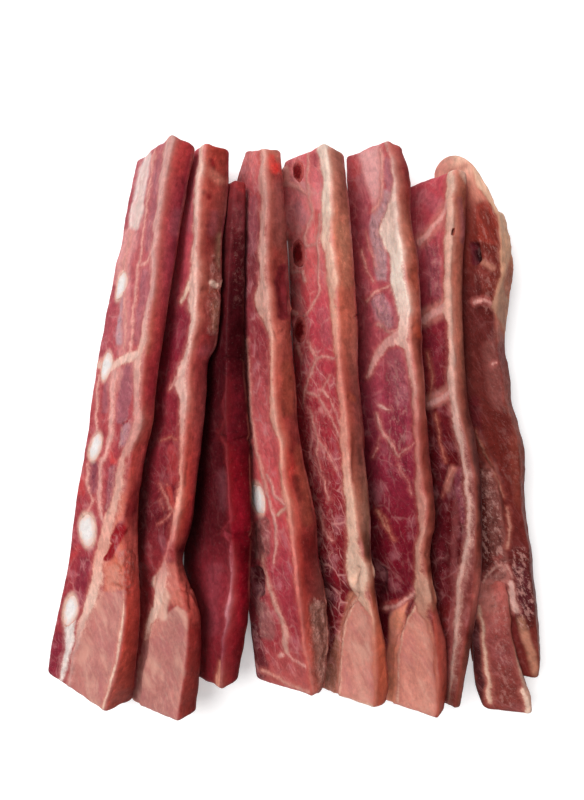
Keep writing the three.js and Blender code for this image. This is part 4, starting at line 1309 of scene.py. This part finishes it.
class Nodes:
    """Short ways to add and join the nodes of one material."""

    def __init__(self, name):
        self.material = bpy.data.materials.new(name)
        self.material.use_nodes = True
        self.tree = self.material.node_tree
        self.tree.nodes.clear()

    def add(self, kind, inputs, **settings):
        node = self.tree.nodes.new(kind)
        for key, value in settings.items():
            setattr(node, key, value)
        for key, value in inputs.items():
            if isinstance(value, bpy.types.NodeSocket):
                self.tree.links.new(value, node.inputs[key])
            else:
                node.inputs[key].default_value = value
        return node

    def attribute(self, name, output="Fac"):
        return self.add("ShaderNodeAttribute", {}, attribute_name=name).outputs[output]

    def math(self, operation, a, b):
        return self.add("ShaderNodeMath", {0: a, 1: b}, operation=operation).outputs[0]

    def times(self, a, b):
        return self.math("MULTIPLY", a, b)

    def plus(self, a, b):
        return self.math("ADD", a, b)

    def ramp(self, value, low, high, start=0.0, end=1.0):
        inputs = {"Value": value, "From Min": low, "From Max": high, "To Min": start, "To Max": end}
        node = self.add("ShaderNodeMapRange", inputs, interpolation_type="SMOOTHSTEP")
        return node.outputs["Result"]

    def ramped(self, value, name):
        return self.ramp(value, *RAMPS[name])

    def blend(self, factor, a, b):
        inputs = {0: factor, 6: a, 7: b}
        return self.add("ShaderNodeMix", inputs, data_type="RGBA").outputs[2]

    def scaled(self, vector, factor):
        inputs = {0: vector, "Scale": factor}
        return self.add("ShaderNodeVectorMath", inputs, operation="SCALE").outputs[0]

    def vector(self, operation, a, b):
        return self.add("ShaderNodeVectorMath", {0: a, 1: b}, operation=operation).outputs[0]

    def stretched(self, vector, scale, turn=0.0):
        """The vector turned about its third axis, then scaled."""
        turned = self.add("ShaderNodeMapping", {"Vector": vector, "Rotation": (0, 0, turn)})
        inputs = {"Vector": turned.outputs[0], "Scale": scale}
        return self.add("ShaderNodeMapping", inputs).outputs[0]

    def noise(self, vector, scale, detail, rough, stretch=None, turn=0.0, output="Fac"):
        if stretch:
            vector = self.stretched(vector, stretch, turn)
        inputs = {"Vector": vector, "Scale": scale, "Detail": detail, "Roughness": rough}
        return self.add("ShaderNodeTexNoise", inputs).outputs[output]

    def cell_edges(self, vector, scale):
        inputs = {"Vector": vector, "Scale": scale}
        node = self.add("ShaderNodeTexVoronoi", inputs, feature="DISTANCE_TO_EDGE")
        return node.outputs["Distance"]

    def layered(self, base, layers, patterns, masks):
        """The base colour with layers over it, each given as in MUSCLE_LAYERS."""
        for pattern, low, high, strength, mask, colour in layers:
            cover = self.times(self.ramp(patterns[pattern], low, high, 0.0, strength), masks[mask])
            top = rgba(colour) if isinstance(colour, tuple) else self.scaled(base, colour)
            base = self.blend(cover, base, top)
        return base

    def finish(self, colour, roughness, height, reach, **sockets):
        inputs = {"Strength": BUMP_STRENGTH, "Distance": reach, "Height": height}
        bump = self.add("ShaderNodeBump", inputs)
        inputs = {"Base Color": colour, "Roughness": roughness, "Normal": bump.outputs[0]}
        shader = self.add("ShaderNodeBsdfPrincipled", {**inputs, **sockets})
        self.add("ShaderNodeOutputMaterial", {"Surface": shader.outputs[0]})
        return self.material


WET = {
    "IOR": 1.4, "Specular IOR Level": 0.03, "Subsurface Weight": 0.1,
    "Subsurface Radius": (1.0, 0.3, 0.2), "Subsurface Scale": 0.0012, "Coat Weight": 0.02,
    "Coat Roughness": 0.2,
}

# The meat's noises: scale per millimetre, octaves, roughness, stretch along its three axes and
# turn in radians.
PATTERNS = {
    "broad": (0.11, 4.0, 0.55),
    "medium": (0.38, 4.0, 0.6),
    "fine": (1.3, 4.0, 0.65),
    "speckle": (0.95, 6.0, 0.72),
    "glints": (2.4, 2.0, 0.5),
    "grain": (1.0, 4.0, 0.6, (1.3, 0.35, 1.0)),
    "crumbs": (0.42, 5.0, 0.7, (1.0, 0.6, 1.0), 0.3),
    "mottle": (0.3, 6.0, 0.68, (1.0, 0.55, 1.0)),
    "fibres": (1.0, 5.0, 0.6, (0.13, 0.5, 0.4), -0.85),
    "drift": (1.0, 3.0, 0.5, (0.05, 0.1, 0.1), -0.85),
}

# Layers over the muscle, from the lowest up: pattern, its value where the layer starts and where
# it is full, strength, mask, and a colour or a factor of the colour beneath.
MUSCLE_LAYERS = [
    ("broad", 0.5, 0.7, 0.4, "marbled", (206, 136, 142)),
    ("speckle", 0.56, 0.68, 1.0, "specks", (222, 178, 168)),
    ("speckle", 0.44, 0.32, 1.0, "specks", (74, 26, 28)),
    # painted highlights: small wet glints on the open muscle
    ("glints", 0.7, 0.78, 0.55, "open", (238, 206, 204)),
    ("crumbs", 0.5, 0.62, 1.0, "crumbs", (210, 152, 142)),
    # painted shade in the gaps between the crumbs
    ("crumbs", 0.44, 0.34, 1.0, "gaps", (56, 18, 20)),
    ("mottle", 0.5, 0.7, 0.8, "skin", 1.5),
    ("mottle", 0.48, 0.3, 0.8, "skin", 0.68),
]
FLAP_LAYERS = [
    ("fibres", 0.48, 0.75, 0.22, "streak", CREAM),
    ("fibres", 0.52, 0.28, 0.2, "streak", (176, 92, 88)),
    ("drift", 0.5, 0.68, 0.5, "streak", (232, 180, 160)),
    ("drift", 0.48, 0.34, 0.45, "streak", (180, 98, 104)),
]
# Ramps over a pattern or an attribute: the values where they begin and end and, if these aren't
# 0 and 1, the results there.
RAMPS = {
    # of the strength of the webs
    "marbled": (0.0, 0.3), "open": (0.0, 0.15, 0.15, 1.0),
    # of the noises, as light and dark in the muscle, which the streaks calm
    "clouds": (0.3, 0.7, -0.16, 0.16), "swells": (0.3, 0.7, 0.92, 1.08),
    "grain": (0.3, 0.7, 0.95, 1.05), "calm": (0.0, 1.0, 1.0, 0.6),
    # of the distance to a cell's edge, and of the noise that breaks the webs
    "web": (0.07, 0.0), "fine web": (0.06, 0.0, 0.0, 0.6), "web breaks": (0.4, 0.58, 0.15, 1.0),
    # of the noises, as pixels that the fat's edge is frayed by, which is less on the narrow side
    "fray": (0.2, 0.8, -1.0, 1.0), "fine fray": (0.2, 0.8, -0.5, 0.5),
    "less fray": (0.0, 0.35, 1.0, 0.15),
    # of the depth in the fat in pixels, and of how far a point lies on the narrow side
    "fat": (-1.5, 1.3), "outer halo": (-3.2, 0.2, 0.0, 0.6), "face halo": (-5.0, 0.0, 0.0, 0.4),
    "fat rim": (2.2, 0.2, 0.0, 0.4), "on skin": (0.1, 0.5), "on face": (0.1, 0.5, 1.0, 0.0),
    # of the noises, as light and dark in the fat
    "fat grain": (0.25, 0.75, 0.93, 1.04), "fat mottle": (0.32, 0.68, 0.8, 1.18),
    # of the noises and the radius, in cartilage and marrow
    "ragged rim": (0.25, 0.75, -0.16, 0.16), "rim": (0.5, 1.0), "spots": (0.5, 0.68, 0.0, 0.7),
    "bone swells": (0.3, 0.7, 0.9, 1.05),
    # of the fine noise, as roughness
    "meat roughness": (0.3, 0.7, 0.34, 0.52), "bone roughness": (0.3, 0.7, 0.32, 0.5),
}
GRIT_SHARES = {"specks": 0.6, "crumbs": 0.7, "gaps": 0.55}
SPECKS_ANYWHERE = 0.06
WEB_COLOUR = (226, 158, 152)
WEB_BENDS, WEB_BEND = (0.12, 2.0, 0.5), 5.0  # the noise that bends the webs, in millimetres
WEB_STRETCH, WEB_TURN = (1.0, 0.5, 1.0), 0.5
WEB_CELLS, FINE_WEB_CELLS = 0.14, 0.36  # cells per millimetre
# factors that dye the fat's colour where it thins out: on the narrow side, on the broad face,
# and inside its own rim
OUTER_HALO, FACE_HALO, FAT_RIM = (0.96, 0.48, 0.4), (0.82, 0.45, 0.44), (0.9, 0.64, 0.58)
BUMP_REACH, BONE_BUMP_REACH = 0.0006, 0.0005  # metres
FINE_BUMP, GRIT_BUMP, MEDIUM_BUMP, CRUMB_BUMP, FAT_BUMP = 0.4, 1.2, 0.5, 1.5, 0.2


def meat_material():
    n = Nodes("meat")
    local = n.attribute("local", "Vector")
    lean, tint = n.attribute("lean", "Color"), n.attribute("fat_tint", "Color")
    fat, web, grit, streak, skin = map(n.attribute, ("fat", "web", "grit", "streak", "skin"))
    patterns = {name: n.noise(local, *settings) for name, settings in PATTERNS.items()}
    broad, medium, fine, mottle = (patterns[k] for k in ("broad", "medium", "fine", "mottle"))
    masks = {name: n.times(grit, share) for name, share in GRIT_SHARES.items()}
    masks["specks"] = n.plus(masks["specks"], SPECKS_ANYWHERE)
    masks.update({name: n.ramped(web, name) for name in ("marbled", "open")})
    masks.update({"skin": skin, "streak": streak})

    tone = n.times(n.ramped(medium, "clouds"), n.ramped(streak, "calm"))
    tone = n.plus(tone, n.ramped(broad, "swells"))
    for pattern in (fine, patterns["grain"]):
        tone = n.times(tone, n.ramped(pattern, "grain"))
    lean = n.layered(n.scaled(lean, tone), MUSCLE_LAYERS, patterns, masks)

    # fine webs of fat between the muscle bundles
    bend = n.scaled(n.noise(local, *WEB_BENDS, output="Color"), WEB_BEND)
    bent = n.stretched(n.vector("ADD", local, bend), WEB_STRETCH, WEB_TURN)
    line = n.ramped(n.cell_edges(bent, WEB_CELLS), "web")
    fine_line = n.ramped(n.cell_edges(bent, FINE_WEB_CELLS), "fine web")
    line = n.times(n.math("MAXIMUM", line, fine_line), n.ramped(broad, "web breaks"))
    lean = n.blend(n.times(line, web), lean, rgba(WEB_COLOUR))
    lean = n.layered(lean, FLAP_LAYERS, patterns, masks)

    # fat with a frayed edge and a pink halo
    frayed = n.plus(n.ramped(medium, "fray"), n.ramped(fine, "fine fray"))
    depth = n.plus(fat, n.times(frayed, n.ramped(skin, "less fray")))
    mask = n.ramped(depth, "fat")
    outer = n.times(n.ramped(depth, "outer halo"), n.ramped(skin, "on skin"))
    lean = n.blend(outer, lean, n.vector("MULTIPLY", tint, OUTER_HALO))
    halo = n.times(n.ramped(depth, "face halo"), n.ramped(skin, "on face"))
    lean = n.blend(halo, lean, n.vector("MULTIPLY", tint, FACE_HALO))
    tint = n.blend(n.ramped(depth, "fat rim"), tint, n.vector("MULTIPLY", tint, FAT_RIM))
    tint = n.scaled(tint, n.ramped(fine, "fat grain"))
    tint = n.scaled(tint, n.ramped(mottle, "fat mottle"))
    colour = n.blend(mask, lean, tint)

    height = n.times(fine, n.plus(n.times(grit, GRIT_BUMP), FINE_BUMP))
    height = n.plus(height, n.times(medium, MEDIUM_BUMP))
    height = n.plus(height, n.times(patterns["crumbs"], n.times(grit, CRUMB_BUMP)))
    height = n.plus(height, n.times(mask, FAT_BUMP))
    return n.finish(colour, n.ramped(fine, "meat roughness"), height, BUMP_REACH, **WET)


BONE_NOISES = {"fine": (1.1, 5.0, 0.65), "medium": (0.35, 4.0, 0.55)}


def bone_material(name, middle, rim, spots):
    """Cut cartilage or marrow: `middle` colour, `rim` colour and the colour of its spots."""
    n = Nodes(name)
    local = n.attribute("local", "Vector")
    fine, medium = (n.noise(local, *settings) for settings in BONE_NOISES.values())
    radius = n.plus(n.attribute("radius"), n.ramped(medium, "ragged rim"))
    colour = n.blend(n.ramped(radius, "rim"), rgba(middle), rgba(rim))
    colour = n.blend(n.ramped(fine, "spots"), colour, rgba(spots))
    colour = n.scaled(colour, n.ramped(medium, "bone swells"))
    return n.finish(colour, n.ramped(fine, "bone roughness"), fine, BONE_BUMP_REACH, **WET)


# ---- pieces -------------------------------------------------------------------------------

RELIEF_FROM = 3.0  # millimetres above the table at which the relief has grown to its full height
TONGUE_SINKS = 5.0  # how far the tongue's head end dips into the strip that it springs from
TONGUE_START, DIP_RUN = -76.0, 9  # y where it begins to dip, and the length of the dip
DIP_RAGGED = 3  # millimetres that the dip's beginning wanders by
PLUG_AROUND = 64
PLUG_TOP = [0.12, 0.25, 0.38, 0.5, 0.62, 0.73, 0.83, 0.91, 0.97, 1.0]  # radii of the rings
PLUG_WALLS = [0.33, 0.67]  # and depths of those between the two faces
PLUG_LUMPS, LUMP_SIZE = 0.1, 1.4  # unevenness of the oval, in its radii, and how close it is
PLUG_DOME, PLUG_RIM = 0.45, 0.1  # height of the domed face, and how far its rim lies sunken
PLUG_PROUD, PLUG_FAR_DOME = 0.2, 0.3  # how far it stands out of the far side, and its dome there
PLUG_RELIEF = ((0.25, 4), (0.12, 1.6))  # height and wavelength in millimetres
PATTERN_APART, PLUG_PATTERN_APART = 97.0, 41.0  # between one piece's texture and the next one's


def set_attribute(mesh, name, values):
    if values.ndim == 1:
        kind, key = "FLOAT", "value"
    elif name == "local":
        kind, key = "FLOAT_VECTOR", "vector"
    else:
        kind, key = "FLOAT_COLOR", "color"
        values = np.concatenate([values, np.ones((len(values), 1))], -1)
    layer = mesh.attributes.new(name, kind, "POINT")
    layer.data.foreach_set(key, values.astype(np.float32).ravel())


def add_piece(name, points, faces, relief, attributes, material, node, slot):
    """A closed piece, its relief raised along its normals, that stands for a frame node."""
    mesh = bpy.data.meshes.new(name)
    mesh.from_pydata((points * MM).tolist(), [], faces)
    mesh.update()
    normals = np.empty(3 * len(points))
    mesh.vertex_normals.foreach_get("vector", normals)
    rise = relief[:, None] * smooth(points[:, 2:] / RELIEF_FROM)
    raised = points + normals.reshape(-1, 3) * rise
    raised[:, 2] = np.maximum(raised[:, 2], 0)
    mesh.vertices.foreach_set("co", (raised * MM).ravel())
    mesh.polygons.foreach_set("use_smooth", np.ones(len(faces), bool))
    mesh.update()
    for key, values in attributes.items():
        set_attribute(mesh, key, values)
    mesh.materials.append(material)
    piece = bpy.data.objects.new(name, mesh)
    bpy.context.scene.collection.objects.link(piece)
    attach(piece, "root")
    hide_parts(node)


def rib_plug(bar, rib, seed):
    """Oval bar through a strip: a domed cut face, straight walls and a flat far face."""
    y0, across0, along_size, across_size = rib
    angle = np.linspace(0, 2 * np.pi, PLUG_AROUND, endpoint=False)[None, :]
    top, walls = np.array(PLUG_TOP)[:, None], np.array(PLUG_WALLS)[:, None]
    radius = np.concatenate([top, 0 * walls + 1, top[::-1]])
    depth = np.concatenate([0 * top, walls, 0 * top + 1])
    shape = np.stack([np.cos(angle), np.sin(angle), 0 * angle + seed], -1)
    lumpy = radius * (1 + PLUG_LUMPS * noise(shape * LUMP_SIZE, 1.0, seed))
    across = across0 + across_size / 2 * lumpy * np.cos(angle)
    y = y0 + along_size / 2 * lumpy * np.sin(angle)
    share = 0.5 + 0 * y
    for _ in range(3):  # finds the section through each point, which slants with the bar's ends
        head = mix(bar["head"][0], bar["head"][1], share)
        foot = mix(bar["foot"][0], bar["foot"][1], share)
        section = section_at(bar, (head - y) / (head - foot))
        share = np.clip(across / section["width"], 0, 1)
    face = sunken(bar, section, across)
    back = mix(section["upper"], section["lower"], share) + PLUG_PROUD
    dome = PLUG_DOME * (1 - radius**4) - PLUG_RIM
    deep = mix(face - dome, back + PLUG_FAR_DOME * (1 - radius), depth)
    points = with_centres(place(section, across, deep))
    flat = np.stack([across, y, deep], -1).reshape(-1, 3)
    ends = [[across0, y0, 0], [across0, y0, float(back.mean())]]
    attributes = {
        "local": np.concatenate([flat, ends]) + PLUG_PATTERN_APART * seed,
        "radius": np.concatenate([(radius + 0 * y).ravel(), [0, 0]]),
    }
    coarse, fine = PLUG_RELIEF
    relief = coarse[0] * noise(points, coarse[1], seed) + fine[0] * noise(points, fine[1], seed + 3)
    return points, tube_faces(*deep.shape, turned=True), relief, attributes


MEAT = meat_material()
CARTILAGE = bone_material("cartilage", (240, 232, 229), (236, 202, 190), (222, 206, 206))
MARROW = bone_material("marrow", (112, 24, 28), (186, 92, 88), (176, 60, 62))
MEAT_SLOTS = {"strip_3": "dark_meat", "strip_8": "brown_meat"}
MARROW_STRIP = "strip_5"

for number, (name, bar) in enumerate(STRIPS.items()):
    form, faces = loft(bar)
    attributes, relief = paint(LOOKS[name], bar, form, 50 * number + 7)
    attributes["local"] = attributes["local"] + PATTERN_APART * number
    if name.endswith("tongue"):
        ragged = DIP_RAGGED * noise(form["points"], 6, 5)
        dip = smooth((form["points"][:, 1] + ragged - TONGUE_START) / DIP_RUN)
        relief = relief - TONGUE_SINKS * dip * (1 - form["hidden"])
    node = name.replace("_tongue", "")
    slot = MEAT_SLOTS.get(node, "meat")
    add_piece(f"{name}_meat", form["points"], faces, relief, attributes, MEAT, node, slot)
    inside, slot = (MARROW, "marrow") if name == MARROW_STRIP else (CARTILAGE, "cartilage")
    for index, rib in enumerate(bar.get("ribs", [])):
        plug = rib_plug(bar, rib, 10 * number + index)
        node = f"{name}_rib_{index + 1}"
        add_piece(f"{node}_cut", *plug, inside, node, slot)

# ---- floor, light and camera, in metres -----------------------------------------------------

FLOOR_SIZE = 6.0
FLOOR_DROP = 0.0002  # keeps the floor clear of the undersides
FLOOR_WHITE = 0.92
GLOW_FROM, GLOW_TO, GLOW = 0.062, 0.1, 0.34  # painted light: the floor glows white outside this distance, which also lightens the meat's shadow on it
GLOW_OVAL = (1.0, 0.88, 0)  # which is longer along the strips
SUN_POWER, SUN_ANGLE, SUN_FROM = 2.45, 0.6, (-0.42, 0.28, 1.0)
TOP_POWER, TOP_SIZE, TOP_HEIGHT = 4.0, 0.8, 1.4
WORLD_POWER = 0.1

floor_mesh = bpy.data.meshes.new("floor")
corners = [(-1, -1), (1, -1), (1, 1), (-1, 1)]
floor_points = [(FLOOR_SIZE / 2 * x, FLOOR_SIZE / 2 * y, -FLOOR_DROP) for x, y in corners]
floor_mesh.from_pydata(floor_points, [], [(0, 1, 2, 3)])
floor = bpy.data.objects.new("floor", floor_mesh)
bpy.context.scene.collection.objects.link(floor)
plain = Nodes("floor")
where = plain.add("ShaderNodeTexCoord", {}).outputs["Object"]
oval = plain.vector("MULTIPLY", where, GLOW_OVAL)
away = plain.add("ShaderNodeVectorMath", {0: oval}, operation="LENGTH").outputs["Value"]
# painted light: the floor glows where it lies clear of the meat
shader = plain.add("ShaderNodeBsdfPrincipled", {
    "Base Color": (FLOOR_WHITE, FLOOR_WHITE, FLOOR_WHITE, 1), "Roughness": 0.9,
    "Specular IOR Level": 0.1, "Emission Color": (1, 1, 1, 1),
    "Emission Strength": plain.ramp(away, GLOW_FROM, GLOW_TO, 0.0, GLOW),
})
plain.add("ShaderNodeOutputMaterial", {"Surface": shader.outputs[0]})
floor_mesh.materials.append(plain.material)


def add_lamp(name, kind, power, **settings):
    """A light that shines straight down."""
    light = bpy.data.lights.new(name, kind)
    light.energy = power
    for key, value in settings.items():
        setattr(light, key, value)
    lamp = bpy.data.objects.new(name, light)
    bpy.context.scene.collection.objects.link(lamp)
    return lamp


sun = add_lamp("key", "SUN", SUN_POWER, angle=SUN_ANGLE)
sun.rotation_euler = Vector(SUN_FROM).to_track_quat("Z", "Y").to_euler()
top = add_lamp("top", "AREA", TOP_POWER, shape="SQUARE", size=TOP_SIZE)
top.location.z = TOP_HEIGHT

world = bpy.data.worlds.new("studio")
world.use_nodes = True
background = world.node_tree.nodes["Background"].inputs
background["Color"].default_value = (1, 1, 1, 1)
background["Strength"].default_value = WORLD_POWER
bpy.context.scene.world = world
bpy.context.scene.view_settings.view_transform = "Standard"

lens = bpy.data.cameras.new("camera")
lens.sensor_width = SENSOR
lens.lens = FOCAL * SENSOR / max(PHOTO)
lens.clip_start = 0.01
camera = bpy.data.objects.new("camera", lens)
camera.location = [MM * value for value in CAMERA]
bpy.context.scene.collection.objects.link(camera)
bpy.context.scene.camera = camera
